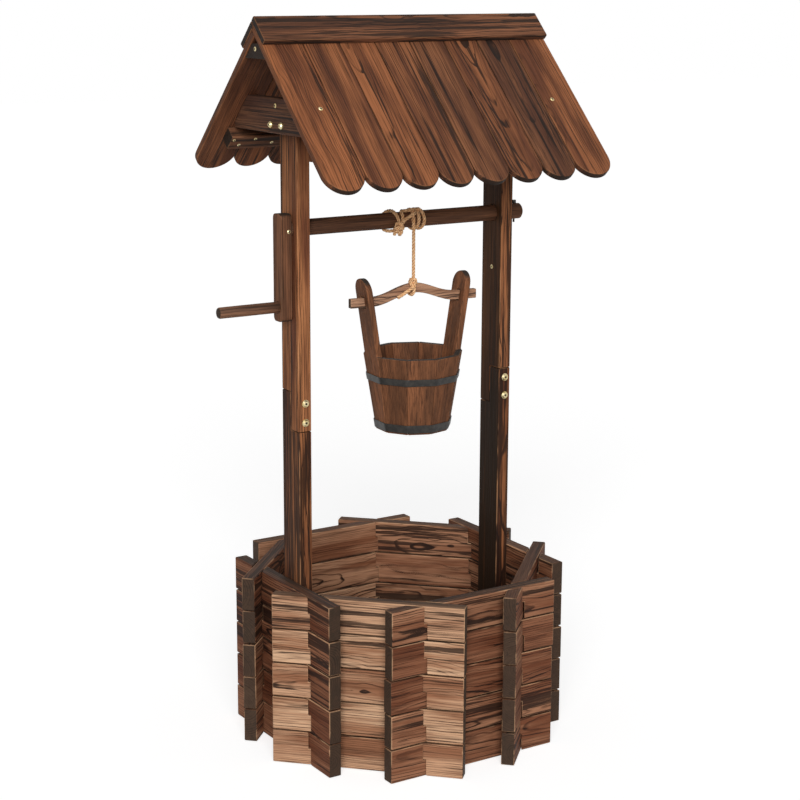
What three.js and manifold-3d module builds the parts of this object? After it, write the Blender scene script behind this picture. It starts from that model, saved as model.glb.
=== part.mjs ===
// A wooden wishing well planter: an eight-sided planter of cross-lapped boards, two spliced posts,
// a gabled plank roof and a hand-cranked spindle that winds a rope with a staved bucket on it.
// Millimetres, +Z up. The spindle runs along X, its crank is at -X, and the front is at -Y.
// The origin lies on the ground, under the middle of the whole object's box.

import * as THREE from 'three';
import { mergeVertices } from 'three/addons/utils/BufferGeometryUtils.js';
import Module from 'manifold-3d';

const wasm = await Module();
wasm.setup();

// Clearances and rounding
const SEAT = 0.3;
const CUT_OVERRUN = 4;
const FULL_TURN = 2 * Math.PI;

// Planter walls
const WALL_COUNT = 8;
const WALL_SIDE = 181;
const WALL_HORN = 60;
const WALL_THICK = 21;
const BOARD_HIGH = 55;
const BOARD_ROWS = 5;
const BOARD_CHAMFER = 1.6;
const LAP_CLEARANCE = 1.2;

// Planter floor
const FLOOR_SLATS = 5;
const FLOOR_SLAT_THICK = 12;
const FLOOR_SLAT_GAP = 8;
const FLOOR_FIT = 0.6;
const FLOOR_POST_GAP = 14.19;
const CLEAT_WIDE = 20;
const CLEAT_HIGH = 20;
const CLEAT_HOUSING = 3;
const CLEAT_END_GAP = 13.29;

// Posts and their half-lap splices
const POST_THICK = 22;
const POST_DEEP = 52;
const POST_TOP = 1020;
const SPLICE_LOW = 515;
const SPLICE_LONG = 60;
const SPLICE_BOLT_DOWN = 15;

// Bolts
const BOLT_HEAD_RADIUS = 6;
const BOLT_HEAD_HIGH = 4;
const BOLT_SHANK_RADIUS = 3;
const BOLT_NUT_RADIUS = 5.5;
const BOLT_NUT_HIGH = 5;
const BOLT_SIDES = 12;

// Roof
const RIDGE_ABOVE_POST = 105;
const ROOF_PITCH = Math.PI / 4;
const PLANKS_PER_SLOPE = 8;
const PLANK_WIDE = 61.6;
const END_PLANK_WIDE = 68.5;
const PLANK_GAP = 0.6;
const PLANK_THICK = 10;
const PLANK_LONG = 311;
const PLANK_TIP_STEPS = 12;
const CAP_WIDE = 48;
const CAP_THICK = 10;
const RIDGE_BEAM_DOWN = 25;
const RIDGE_BEAM_HIGH = 22;
const RIDGE_BEAM_SET_BACK = 3;
const EAVE_BATTEN_GAP = 5.94;
const EAVE_BATTEN_WIDE = 27;
const EAVE_BATTEN_THICK = 22;
const EAVE_BATTEN_SET_BACK = 29.3;
const GABLE_THICK = 19;
const GABLE_HIGH = 52;
const GABLE_CORNER = 9.4336;

// Windlass
const SPINDLE_DOWN = 194;
const SPINDLE_RADIUS = 12.5;
const SPINDLE_RUNNING_GAP = 0.6;
const SPINDLE_STUB = 31;
const TENON_RADIUS = 7.5;
const TENON_LONG = 12;
const ARM_GAP = 2.4;
const ARM_THICK = 18;
const ARM_WIDE = 25;
const ARM_ABOVE = 23.5;
const ARM_BELOW = 140;
const ARM_CORNER = 8;
const ARM_CORNER_STEPS = 4;
const HANDLE_UP = 22;
const HANDLE_RADIUS = 8.5;
const HANDLE_SOCKET = 13;
const HANDLE_REACH = 101;
const HANDLE_CHAMFER = 2;
const PIN_RADIUS = 1.6;
const PIN_PROUD = 5.5;
const PIN_HEAD_RADIUS = 3.4;
const PIN_FROM_END = 10;
const ROUND_SIDES = 16;

// Rope
const ROPE_RADIUS = 2.5;
const ROPE_AT = 16;
const ROPE_SIDES = 6;
const ROPE_LOOP_STEPS = 24;
const DROP_SIDES = 8;
const YOKE_LOOP_LEG_STEPS = 3;
const ROPE_DROP = 80.4;
const KNOT_RADIUS = 6;
const WRAP_GAP = 1.8;
const WRAP_LOOPS = 3;
const CROSSING_GAP = 0.9;
const CROSSING_LAND = 28;
const CROSSING_SHARES = [0.2, 0.8];
const ANCHOR_GAP = 4;
const ANCHOR_LOOPS = 2.2;

// Bucket
const BUCKET_TURN = -4.1 * Math.PI / 180;
const STAVE_COUNT = 10;
const STAVE_THICK = 10;
const STAVE_LONG = 123;
const BUCKET_BASE_RADIUS = 59.4;
const BUCKET_FLARE = 0.165;
const EAR_LONG = 245;
const EAR_HALF = 20.5;
const EAR_STEPS = 12;
const BUCKET_FLOOR_UP = 8;
const BUCKET_FLOOR_THICK = 9;
const HOOP_THICK = 1.3;
const UPPER_HOOP_DOWN = 31.5;
const UPPER_HOOP_HIGH = 11;
const LOWER_HOOP_UP = 3;
const LOWER_HOOP_HIGH = 13;
const YOKE_DOWN = 37.7;
const YOKE_TAIL = 23;
const YOKE_SECTION = 14.8;
const YOKE_THICK = 9;
const YOKE_RISE = 17;
const YOKE_ARCH_GAP = 5;
const YOKE_STEPS = 18;

// Places that follow from the sizes above: the planter and its floor
const WALL_TURN = FULL_TURN / WALL_COUNT;
const WALL_OUT = WALL_SIDE / 2 / Math.tan(WALL_TURN / 2);
const WALL_IN = WALL_OUT - WALL_THICK;
const WALL_HIGH = BOARD_HIGH * BOARD_ROWS;
const HORN_REACH = WALL_OUT + WALL_HORN * Math.sin(WALL_TURN);
const POST_OUT = WALL_IN - SEAT;
const POST_IN = POST_OUT - POST_THICK;
const FLOOR_HALF = POST_IN - FLOOR_POST_GAP;
const CLEAT_END = (WALL_IN - FLOOR_HALF * Math.cos(WALL_TURN)) / Math.sin(WALL_TURN);
const CLEAT_OUT = CLEAT_END - CLEAT_END_GAP - CLEAT_WIDE / 2;

// Places up the posts and on the roof
const SPLICE_HIGH = SPLICE_LOW + SPLICE_LONG;
const SPLICE_BOLT_HIGH = SPLICE_HIGH - SPLICE_BOLT_DOWN;
const RIDGE_HIGH = POST_TOP + RIDGE_ABOVE_POST;
const RIDGE_BEAM_TOP = RIDGE_HIGH - RIDGE_BEAM_DOWN;
const RIDGE_BEAM_LOW = RIDGE_BEAM_TOP - RIDGE_BEAM_HIGH;
const GABLE_LOW = POST_TOP - GABLE_HIGH;
const GABLE_HALF = underRoof(GABLE_LOW + GABLE_CORNER);
const GABLE_END_DOWN = GABLE_HALF * Math.cos(ROOF_PITCH) + (RIDGE_HIGH - GABLE_LOW) * Math.sin(ROOF_PITCH);
const EAVE_BATTEN_DOWN = GABLE_END_DOWN + EAVE_BATTEN_GAP;
const ROOF_HALF = END_PLANK_WIDE + PLANK_WIDE * (PLANKS_PER_SLOPE / 2 - 1);
const EAVE_BATTEN_HALF = ROOF_HALF - EAVE_BATTEN_SET_BACK;

// Places along the windlass
const SPINDLE_HIGH = POST_TOP - SPINDLE_DOWN;
const ARM_IN = POST_OUT + ARM_GAP;
const ARM_OUT = ARM_IN + ARM_THICK;
const HANDLE_END = ARM_OUT + HANDLE_REACH;
const HANDLE_THROW = ARM_BELOW - HANDLE_UP;
const PIN_HALF = SPINDLE_RADIUS + PIN_PROUD;
const WELL_AT = (HANDLE_END - HORN_REACH) / 2;

// Places down the rope and the bucket
const WRAP_RADIUS = SPINDLE_RADIUS + SEAT + ROPE_RADIUS;
const WRAP_PITCH = 2 * ROPE_RADIUS + WRAP_GAP;
const CROSSING_LIFT = 2 * ROPE_RADIUS + CROSSING_GAP;
const ANCHOR_PITCH = 2 * ROPE_RADIUS + ANCHOR_GAP;
const DROP_TOP = SPINDLE_HIGH - 2 * ROPE_RADIUS - SEAT;
const DROP_LOW = DROP_TOP - ROPE_DROP;
const KNOT_HIGH = DROP_LOW - SEAT - KNOT_RADIUS;
const YOKE_TOP = KNOT_HIGH - KNOT_RADIUS - SEAT;
const YOKE_HIGH = YOKE_TOP - YOKE_RISE - YOKE_SECTION / 2;
const EAR_TOP = YOKE_HIGH + YOKE_DOWN;
const BUCKET_LOW = EAR_TOP - EAR_LONG;
const BUCKET_RIM = BUCKET_LOW + STAVE_LONG;
const UPPER_HOOP_LOW = BUCKET_RIM - UPPER_HOOP_DOWN - UPPER_HOOP_HIGH;
const LOWER_HOOP_LOW = BUCKET_LOW + LOWER_HOOP_UP;
const YOKE_HALF = bucketFlat(YOKE_HIGH) + YOKE_TAIL;
const YOKE_ARCH_HALF = bucketFlat(YOKE_HIGH) - STAVE_THICK - YOKE_ARCH_GAP;

// Finishes
const finish = (color, roughness, metalness) =>
  new THREE.MeshStandardMaterial({ color, roughness, metalness });
const BASE_WOOD = finish(0x8f5f3c, 0.75, 0);
const POST_WOOD = finish(0x6b4129, 0.7, 0);
const ROOF_WOOD = finish(0x6a3d28, 0.65, 0);
const BUCKET_WOOD = finish(0x5a3526, 0.7, 0);
const CRANK_WOOD = finish(0x4f3322, 0.7, 0);
const HOOP_METAL = finish(0x232322, 0.45, 0.6);
const BOLT_METAL = finish(0xc9b26c, 0.35, 0.9);
const PIN_METAL = finish(0x2a2826, 0.5, 0.8);
const ROPE_FIBRE = finish(0xc0935f, 0.95, 0);

const model = new THREE.Group();
model.name = 'wishing_well_planter';
const well = new THREE.Group();
well.position.x = WELL_AT;
model.add(well);

// Puts one named piece in a group
function addPiece(parent, name, geometry, material) {
  const mesh = new THREE.Mesh(geometry, material);
  mesh.name = name;
  parent.add(mesh);
  return mesh;
}

// Closed geometry to solid, with only positions kept
function toSolid(geometry) {
  const bare = geometry.clone();
  bare.deleteAttribute('normal');
  bare.deleteAttribute('uv');
  const merged = mergeVertices(bare);
  return new wasm.Manifold(new wasm.Mesh({
    numProp: 3,
    vertProperties: new Float32Array(merged.attributes.position.array),
    triVerts: new Uint32Array(merged.index.array),
  }));
}

// Solid back to geometry
function toGeometry(solid) {
  const mesh = solid.getMesh();
  const geometry = new THREE.BufferGeometry();
  geometry.setAttribute('position', new THREE.BufferAttribute(mesh.vertProperties, 3));
  geometry.setIndex(new THREE.BufferAttribute(mesh.triVerts, 1));
  geometry.computeVertexNormals();
  return geometry;
}

function joined(...geometries) {
  return toGeometry(geometries.map(toSolid).reduce((sum, next) => sum.add(next)));
}

function cutBy(geometry, ...cutters) {
  return toGeometry(cutters.map(toSolid).reduce((left, cutter) => left.subtract(cutter), toSolid(geometry)));
}

function common(geometry, other) {
  return toGeometry(toSolid(geometry).intersect(toSolid(other)));
}

// A box between two corners
function block(x0, x1, y0, y1, z0, z1) {
  const box = new THREE.BoxGeometry(x1 - x0, y1 - y0, z1 - z0);
  return box.translate((x0 + x1) / 2, (y0 + y1) / 2, (z0 + z1) / 2);
}

function extruded(points, depth) {
  const shape = new THREE.Shape(points.map(([a, b]) => new THREE.Vector2(a, b)));
  return new THREE.ExtrudeGeometry(shape, { depth, bevelEnabled: false });
}

// An outline of (x, y) points, standing from z0 to z1
function uprightPrism(points, z0, z1) {
  return extruded(points, z1 - z0).translate(0, 0, z0);
}

// An outline of (y, z) points, running from x0 to x1
function lengthPrism(points, x0, x1) {
  const turn = new THREE.Matrix4().makeBasis(
    new THREE.Vector3(0, 1, 0), new THREE.Vector3(0, 0, 1), new THREE.Vector3(1, 0, 0));
  return extruded(points, x1 - x0).applyMatrix4(turn).translate(x0, 0, 0);
}

// An outline of (x, z) points, running from y0 to y1
function depthPrism(points, y0, y1) {
  return extruded(points, y1 - y0).rotateX(Math.PI / 2).translate(0, y1, 0);
}

// A round bar along X, turned from (radius, x) points
function turnedAlongX(profile, sides) {
  const points = profile.map(([radius, x]) => new THREE.Vector2(radius, x));
  return new THREE.LatheGeometry(points, sides).rotateZ(-Math.PI / 2);
}

// A plain round bar along X
function barAlongX(radius, x0, x1, sides = ROUND_SIDES) {
  return turnedAlongX([[0, x0], [radius, x0], [radius, x1], [0, x1]], sides);
}

// Planter: the section of a stack of boards with a chamfer at each edge
function boardStackSection() {
  const outer = -WALL_OUT;
  const inner = -WALL_IN;
  const points = [];
  for (let row = 0; row < BOARD_ROWS; row += 1) {
    const low = row * BOARD_HIGH;
    const high = low + BOARD_HIGH;
    points.push([inner - BOARD_CHAMFER, low], [inner, low + BOARD_CHAMFER]);
    points.push([inner, high - BOARD_CHAMFER]);
  }
  points.push([inner - BOARD_CHAMFER, WALL_HIGH]);
  for (let row = BOARD_ROWS - 1; row >= 0; row -= 1) {
    const low = row * BOARD_HIGH;
    const high = low + BOARD_HIGH;
    points.push([outer + BOARD_CHAMFER, high], [outer, high - BOARD_CHAMFER]);
    points.push([outer, low + BOARD_CHAMFER]);
  }
  points.push([outer + BOARD_CHAMFER, 0]);
  return points;
}

// Planter: the outline, in plan, of the slot that the next wall passes through on one side
function lapSlotPlan(side) {
  const near = -WALL_OUT - CUT_OVERRUN;
  const far = -WALL_IN + CUT_OVERRUN;
  const crossing = (reach, y) => side * (reach + y * Math.cos(WALL_TURN)) / Math.sin(WALL_TURN);
  const low = WALL_IN - LAP_CLEARANCE;
  const high = WALL_OUT + LAP_CLEARANCE;
  return [
    [crossing(low, near), near], [crossing(high, near), near],
    [crossing(high, far), far], [crossing(low, far), far],
  ];
}

// Planter: one wall of stacked boards, slotted from above at its left end and from below at its right
function wallGeometry() {
  const half = WALL_SIDE / 2 + WALL_HORN;
  const cutters = [];
  for (let row = 0; row < BOARD_ROWS; row += 1) {
    const low = row * BOARD_HIGH;
    const middle = low + BOARD_HIGH / 2;
    const high = low + BOARD_HIGH;
    const under = row === 0 ? low - CUT_OVERRUN : low - SEAT;
    const over = row === BOARD_ROWS - 1 ? high + CUT_OVERRUN : high;
    cutters.push(uprightPrism(lapSlotPlan(-1), middle - SEAT / 2, over));
    cutters.push(uprightPrism(lapSlotPlan(1), under, middle + SEAT / 2));
  }
  return cutBy(lengthPrism(boardStackSection(), -half, half), ...cutters);
}

function addPlanter() {
  const names = ['front', 'front_right', 'right', 'back_right', 'back', 'back_left', 'left', 'front_left'];
  names.forEach((name, index) => {
    const wall = addPiece(well, `wall_${name}`, wallGeometry(), BASE_WOOD);
    wall.rotation.z = index * WALL_TURN;
  });
  addPiece(well, 'floor_panel', floorGeometry(), BASE_WOOD);
}

// Planter: floor slats cut to the eight-sided inside, housed on two cleats
function floorGeometry() {
  const reach = WALL_IN - FLOOR_FIT;
  const corner = reach / Math.cos(WALL_TURN / 2);
  const outline = [];
  for (let k = 0; k < WALL_COUNT; k += 1) {
    const angle = (k + 1 / 2) * WALL_TURN;
    outline.push([corner * Math.cos(angle), corner * Math.sin(angle)]);
  }
  const half = FLOOR_HALF;
  const step = (2 * half + FLOOR_SLAT_GAP) / FLOOR_SLATS;
  const top = CLEAT_HIGH + FLOOR_SLAT_THICK;
  const gaps = [];
  for (let slat = 1; slat < FLOOR_SLATS; slat += 1) {
    const x = -half + slat * step;
    gaps.push(block(x - FLOOR_SLAT_GAP, x, -corner, corner, 0, top + CUT_OVERRUN));
  }
  const inside = uprightPrism(outline, CLEAT_HIGH, top);
  const sheet = common(inside, block(-half, half, -corner, corner, CLEAT_HIGH, top));
  const cleats = [-1, 1].map((side) => block(-half, half, side * CLEAT_OUT - CLEAT_WIDE / 2,
    side * CLEAT_OUT + CLEAT_WIDE / 2, 0, CLEAT_HIGH + CLEAT_HOUSING));
  return joined(cutBy(sheet, ...gaps), ...cleats);
}

// Posts: a lower and an upper half, lapped together and bolted through
function addPost(name, side, lowerTongue) {
  const inner = side * POST_IN;
  const outer = side * POST_OUT;
  const x0 = Math.min(inner, outer);
  const x1 = Math.max(inner, outer);
  const half = POST_DEEP / 2;
  const lap = (sign) => (sign > 0 ? [SEAT / 2, half] : [-half, -SEAT / 2]);
  const middle = (x0 + x1) / 2;
  const hole = boltHole(middle, SPLICE_BOLT_HIGH);
  const lower = joined(
    block(x0, x1, -half, half, 0, SPLICE_LOW),
    block(x0, x1, ...lap(lowerTongue), SPLICE_LOW - CUT_OVERRUN, SPLICE_HIGH));
  const upper = joined(
    block(x0, x1, -half, half, SPLICE_HIGH + SEAT, POST_TOP),
    block(x0, x1, ...lap(-lowerTongue), SPLICE_LOW + SEAT, SPLICE_HIGH + CUT_OVERRUN));
  const bore = barAlongX(SPINDLE_RADIUS + SPINDLE_RUNNING_GAP, x0 - CUT_OVERRUN, x1 + CUT_OVERRUN);
  bore.translate(0, 0, SPINDLE_HIGH);
  addPiece(well, `${name}_lower_post`, cutBy(lower, hole), POST_WOOD);
  addPiece(well, `${name}_upper_post`, cutBy(upper, bore, hole), POST_WOOD);
  const bolt = addPiece(well, `${name}_splice_bolt`, boltGeometry(), BOLT_METAL);
  bolt.position.set(middle, 0, SPLICE_BOLT_HIGH);
}

function boltHole(x, z) {
  const long = POST_DEEP + 2 * CUT_OVERRUN;
  return new THREE.CylinderGeometry(BOLT_SHANK_RADIUS + SEAT, BOLT_SHANK_RADIUS + SEAT, long, BOLT_SIDES)
    .translate(x, 0, z);
}

// Bolt and nut along Y, with its head at the front
function boltGeometry() {
  const face = POST_DEEP / 2 + SEAT;
  const profile = [
    [0, -face - BOLT_NUT_HIGH], [BOLT_NUT_RADIUS, -face - BOLT_NUT_HIGH], [BOLT_NUT_RADIUS, -face],
    [BOLT_SHANK_RADIUS, -face], [BOLT_SHANK_RADIUS, face],
    [BOLT_HEAD_RADIUS, face], [BOLT_HEAD_RADIUS, face + BOLT_HEAD_HIGH / 2],
    [BOLT_HEAD_RADIUS / 2, face + BOLT_HEAD_HIGH], [0, face + BOLT_HEAD_HIGH],
  ];
  const points = profile.map(([radius, along]) => new THREE.Vector2(radius, along));
  return new THREE.LatheGeometry(points, BOLT_SIDES).rotateX(Math.PI);
}

// Roof: a group whose x is the ridge, whose -y runs down a slope and whose z leaves the outer face
function slopeGroup(side) {
  const slope = new THREE.Group();
  slope.position.z = RIDGE_HIGH;
  slope.rotation.order = 'ZXY';
  slope.rotation.z = side < 0 ? 0 : Math.PI;
  slope.rotation.x = ROOF_PITCH;
  well.add(slope);
  return slope;
}

function plankOutline(wide, top) {
  const half = (wide - PLANK_GAP) / 2;
  const points = [[half, -top], [-half, -top]];
  for (let step = 0; step <= PLANK_TIP_STEPS; step += 1) {
    const angle = Math.PI + Math.PI * step / PLANK_TIP_STEPS;
    points.push([half * Math.cos(angle), -PLANK_LONG + half + half * Math.sin(angle)]);
  }
  return points;
}

// Roof: the planks, cap and eave batten of one slope
function addSlope(name, side) {
  const slope = slopeGroup(side);
  const butt = side < 0 ? 0 : PLANK_THICK + SEAT;
  let edge = -ROOF_HALF;
  for (let plank = 0; plank < PLANKS_PER_SLOPE; plank += 1) {
    const atEnd = plank === 0 || plank === PLANKS_PER_SLOPE - 1;
    const wide = atEnd ? END_PLANK_WIDE : PLANK_WIDE;
    const outline = plankOutline(wide, butt);
    const board = uprightPrism(outline, -PLANK_THICK, 0);
    const mesh = addPiece(slope, `${name}_plank_${plank + 1}`, board, ROOF_WOOD);
    mesh.position.x = edge + wide / 2;
    edge += wide;
  }
  const capTop = side < 0 ? CAP_THICK + SEAT : -SEAT;
  const cap = block(-ROOF_HALF, ROOF_HALF, capTop - CAP_WIDE, capTop, SEAT, SEAT + CAP_THICK);
  addPiece(slope, `${name}_ridge_cap`, cap, ROOF_WOOD);
  const under = -PLANK_THICK - SEAT;
  const batten = block(-EAVE_BATTEN_HALF, EAVE_BATTEN_HALF, -EAVE_BATTEN_DOWN - EAVE_BATTEN_WIDE,
    -EAVE_BATTEN_DOWN, under - EAVE_BATTEN_THICK, under);
  addPiece(slope, `${name}_eave_batten`, batten, ROOF_WOOD);
}

// Roof: how far from the middle the underside of the planks is at a height
function underRoof(z) {
  return (RIDGE_HIGH - (PLANK_THICK + SEAT) / Math.cos(ROOF_PITCH) - z) / Math.tan(ROOF_PITCH);
}

// Roof: a gable board outside a post, cut to the slopes, with its lower corners cut upright
function addGableBoard(name, side) {
  const cornerHigh = GABLE_LOW + GABLE_CORNER;
  const top = underRoof(POST_TOP);
  const outline = [
    [-GABLE_HALF, GABLE_LOW], [GABLE_HALF, GABLE_LOW], [GABLE_HALF, cornerHigh],
    [top, POST_TOP], [-top, POST_TOP], [-GABLE_HALF, cornerHigh],
  ];
  const near = POST_OUT + SEAT;
  const board = lengthPrism(outline, near, near + GABLE_THICK);
  if (side < 0) board.translate(-2 * near - GABLE_THICK, 0, 0);
  addPiece(well, `${name}_gable_board`, board, ROOF_WOOD);
}

function addRoof() {
  addSlope('front', -1);
  addSlope('back', 1);
  addGableBoard('left', -1);
  addGableBoard('right', 1);
  const half = ROOF_HALF - RIDGE_BEAM_SET_BACK;
  const wide = underRoof(RIDGE_BEAM_LOW);
  const narrow = underRoof(RIDGE_BEAM_TOP);
  const outline = [
    [-wide, RIDGE_BEAM_LOW], [wide, RIDGE_BEAM_LOW], [narrow, RIDGE_BEAM_TOP], [-narrow, RIDGE_BEAM_TOP],
  ];
  addPiece(well, 'ridge_beam', lengthPrism(outline, -half, half), ROOF_WOOD);
}

// Windlass: the spindle with its tenon, the crank arm, its handle and the retaining pin
function addWindlass() {
  const windlass = new THREE.Group();
  windlass.position.z = SPINDLE_HIGH;
  well.add(windlass);
  const shoulder = -ARM_IN + SEAT;
  const end = POST_OUT + SPINDLE_STUB;
  const bar = turnedAlongX([
    [0, shoulder - TENON_LONG], [TENON_RADIUS, shoulder - TENON_LONG], [TENON_RADIUS, shoulder],
    [SPINDLE_RADIUS, shoulder], [SPINDLE_RADIUS, end], [0, end],
  ], ROUND_SIDES);
  const pinAt = end - PIN_FROM_END;
  const holeRadius = PIN_RADIUS + SEAT;
  const holeLong = 2 * (SPINDLE_RADIUS + CUT_OVERRUN);
  const pinHole = new THREE.CylinderGeometry(holeRadius, holeRadius, holeLong, BOLT_SIDES)
    .rotateX(Math.PI / 2).translate(pinAt, 0, 0);
  addPiece(windlass, 'spindle', cutBy(bar, pinHole), CRANK_WOOD);
  addPiece(windlass, 'crank_arm', armGeometry(), CRANK_WOOD);
  const handle = turnedAlongX([
    [0, -HANDLE_END], [HANDLE_RADIUS - HANDLE_CHAMFER, -HANDLE_END],
    [HANDLE_RADIUS, -HANDLE_END + HANDLE_CHAMFER], [HANDLE_RADIUS, -ARM_OUT + HANDLE_SOCKET - SEAT],
    [0, -ARM_OUT + HANDLE_SOCKET - SEAT],
  ], ROUND_SIDES);
  addPiece(windlass, 'crank_handle', handle.translate(0, 0, -HANDLE_THROW), CRANK_WOOD);
  const pin = new THREE.LatheGeometry([
    [0, -PIN_HALF], [PIN_RADIUS, -PIN_HALF], [PIN_RADIUS, SPINDLE_RADIUS + SEAT],
    [PIN_HEAD_RADIUS, SPINDLE_RADIUS + SEAT], [PIN_HEAD_RADIUS, PIN_HALF], [0, PIN_HALF],
  ].map(([radius, along]) => new THREE.Vector2(radius, along)), BOLT_SIDES).rotateX(Math.PI / 2);
  addPiece(windlass, 'spindle_pin', pin.translate(pinAt, 0, 0), PIN_METAL);
  addPiece(windlass, 'rope_winding', windingGeometry(), ROPE_FIBRE);
}

function armGeometry() {
  const half = ARM_WIDE / 2;
  const shape = new THREE.Shape();
  const corner = (y, z, from) => shape.absarc(y, z, ARM_CORNER, from, from + Math.PI / 2, false);
  corner(half - ARM_CORNER, ARM_ABOVE - ARM_CORNER, 0);
  corner(-half + ARM_CORNER, ARM_ABOVE - ARM_CORNER, Math.PI / 2);
  corner(-half + ARM_CORNER, -ARM_BELOW + ARM_CORNER, Math.PI);
  corner(half - ARM_CORNER, -ARM_BELOW + ARM_CORNER, Math.PI * 3 / 2);
  const outline = shape.getPoints(ARM_CORNER_STEPS).slice(0, -1).map((point) => [point.x, point.y]);
  const board = lengthPrism(outline, -ARM_OUT, -ARM_IN);
  const socket = barAlongX(TENON_RADIUS + SEAT, -ARM_IN - TENON_LONG, -ARM_IN + CUT_OVERRUN);
  const handleSocket = barAlongX(HANDLE_RADIUS + SEAT, -ARM_OUT - CUT_OVERRUN, -ARM_OUT + HANDLE_SOCKET);
  return cutBy(board, socket, handleSocket.translate(0, 0, -HANDLE_THROW));
}

// Rope: eases from 0 to 1 while a value goes from start to end
function eased(value, start, end) {
  return THREE.MathUtils.smoothstep(value, start, end);
}

// Rope: the middle of the winding after a number of turns, from the hanging end up and round
function windingPoint(turns) {
  const [crossStart, crossEnd] = CROSSING_SHARES.map((share) => WRAP_LOOPS + share);
  const raised = eased(turns, WRAP_LOOPS, crossStart);
  const lift = CROSSING_LIFT * (raised - eased(turns, crossEnd, WRAP_LOOPS + 1));
  const wrapped = ROPE_AT + WRAP_PITCH * Math.min(turns, WRAP_LOOPS);
  const crossed = -(CROSSING_LAND + WRAP_PITCH * WRAP_LOOPS) * eased(turns, crossStart, crossEnd);
  const anchored = -ANCHOR_PITCH * Math.max(turns - crossEnd, 0);
  const angle = FULL_TURN * turns;
  const radius = WRAP_RADIUS + lift;
  return new THREE.Vector3(wrapped + crossed + anchored, -radius * Math.cos(angle), radius * Math.sin(angle));
}

// Rope: one unbroken tube of rings along points, closed at both ends
function ropeTube(points, sides) {
  const positions = [];
  const index = [];
  const side = new THREE.Vector3();
  const lift = new THREE.Vector3();
  let along = new THREE.Vector3();
  points.forEach((point, ring) => {
    const before = points[Math.max(ring - 1, 0)];
    const after = points[Math.min(ring + 1, points.length - 1)];
    along = after.clone().sub(before).normalize();
    if (ring === 0) side.set(1, 0, 0);
    side.addScaledVector(along, -side.dot(along)).normalize();
    lift.crossVectors(along, side);
    for (let k = 0; k < sides; k += 1) {
      const angle = FULL_TURN * k / sides;
      positions.push(...point.clone()
        .addScaledVector(side, ROPE_RADIUS * Math.cos(angle))
        .addScaledVector(lift, ROPE_RADIUS * Math.sin(angle)).toArray());
    }
  });
  for (let ring = 0; ring < points.length - 1; ring += 1) {
    for (let k = 0; k < sides; k += 1) {
      const a = ring * sides + k;
      const b = ring * sides + (k + 1) % sides;
      index.push(a, b, b + sides, a, b + sides, a + sides);
    }
  }
  const last = (points.length - 1) * sides;
  for (let k = 1; k < sides - 1; k += 1) {
    index.push(0, k + 1, k);
    index.push(last, last + k, last + k + 1);
  }
  const geometry = new THREE.BufferGeometry();
  geometry.setAttribute('position', new THREE.Float32BufferAttribute(positions, 3));
  geometry.setIndex(index);
  geometry.computeVertexNormals();
  return geometry;
}

// Rope: the least gap between turns of a tube that are more than half a loop apart
function leastSelfGap(points) {
  let least = Infinity;
  const apart = ROPE_LOOP_STEPS / 2;
  for (let i = 0; i < points.length; i += 1) {
    for (let j = i + apart; j < points.length; j += 1) {
      least = Math.min(least, points[i].distanceTo(points[j]));
    }
  }
  return least - 2 * ROPE_RADIUS;
}

function windingGeometry() {
  const turns = WRAP_LOOPS + 1 + ANCHOR_LOOPS;
  const steps = Math.round(turns * ROPE_LOOP_STEPS);
  const start = windingPoint(0);
  const points = [start.clone().add(new THREE.Vector3(0, 0, -2 * ROPE_RADIUS))];
  for (let step = 0; step <= steps; step += 1) {
    points.push(windingPoint(turns * step / steps));
  }
  const last = points[points.length - 1];
  const along = last.clone().sub(points[points.length - 2]).normalize();
  points.push(last.clone().addScaledVector(along, 2 * ROPE_RADIUS));
  console.log(`rope winding: least gap to itself ${leastSelfGap(points).toFixed(2)} mm`);
  return ropeTube(points, ROPE_SIDES);
}

// Rope: the hanging stretch, and the knot at its lower end
function addRope() {
  const drop = new THREE.CylinderGeometry(ROPE_RADIUS, ROPE_RADIUS, ROPE_DROP, DROP_SIDES)
    .rotateX(Math.PI / 2).translate(ROPE_AT, -WRAP_RADIUS, (DROP_TOP + DROP_LOW) / 2);
  addPiece(well, 'rope_drop', drop, ROPE_FIBRE);
  const knot = new THREE.SphereGeometry(KNOT_RADIUS, BOLT_SIDES, BOLT_SIDES / 2).rotateX(Math.PI / 2);
  addPiece(well, 'rope_knot', knot.translate(ROPE_AT, -WRAP_RADIUS, KNOT_HIGH), ROPE_FIBRE);
}

// Bucket: the corner radius and the flat's distance from the middle at a height
function bucketRadius(z) {
  return BUCKET_BASE_RADIUS + BUCKET_FLARE * (z - BUCKET_LOW);
}

function bucketFlat(z) {
  return bucketRadius(z) * Math.cos(Math.PI / STAVE_COUNT);
}

// Bucket: the wedge that one stave fills between its two neighbours, in plan
function staveWedge() {
  const far = 2 * bucketRadius(EAR_TOP);
  const near = BUCKET_BASE_RADIUS / 2;
  const spread = (x) => x * Math.tan(Math.PI / STAVE_COUNT) - SEAT / 2;
  return [[near, -spread(near)], [far, -spread(far)], [far, spread(far)], [near, spread(near)]];
}

// Bucket: one short stave on the +X side, flared outward
function staveGeometry() {
  const section = [
    [bucketFlat(BUCKET_LOW) - STAVE_THICK, BUCKET_LOW], [bucketFlat(BUCKET_LOW), BUCKET_LOW],
    [bucketFlat(BUCKET_RIM), BUCKET_RIM], [bucketFlat(BUCKET_RIM) - STAVE_THICK, BUCKET_RIM],
  ];
  const reach = bucketRadius(BUCKET_RIM);
  return common(depthPrism(section, -reach, reach), uprightPrism(staveWedge(), BUCKET_LOW, BUCKET_RIM));
}

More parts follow.
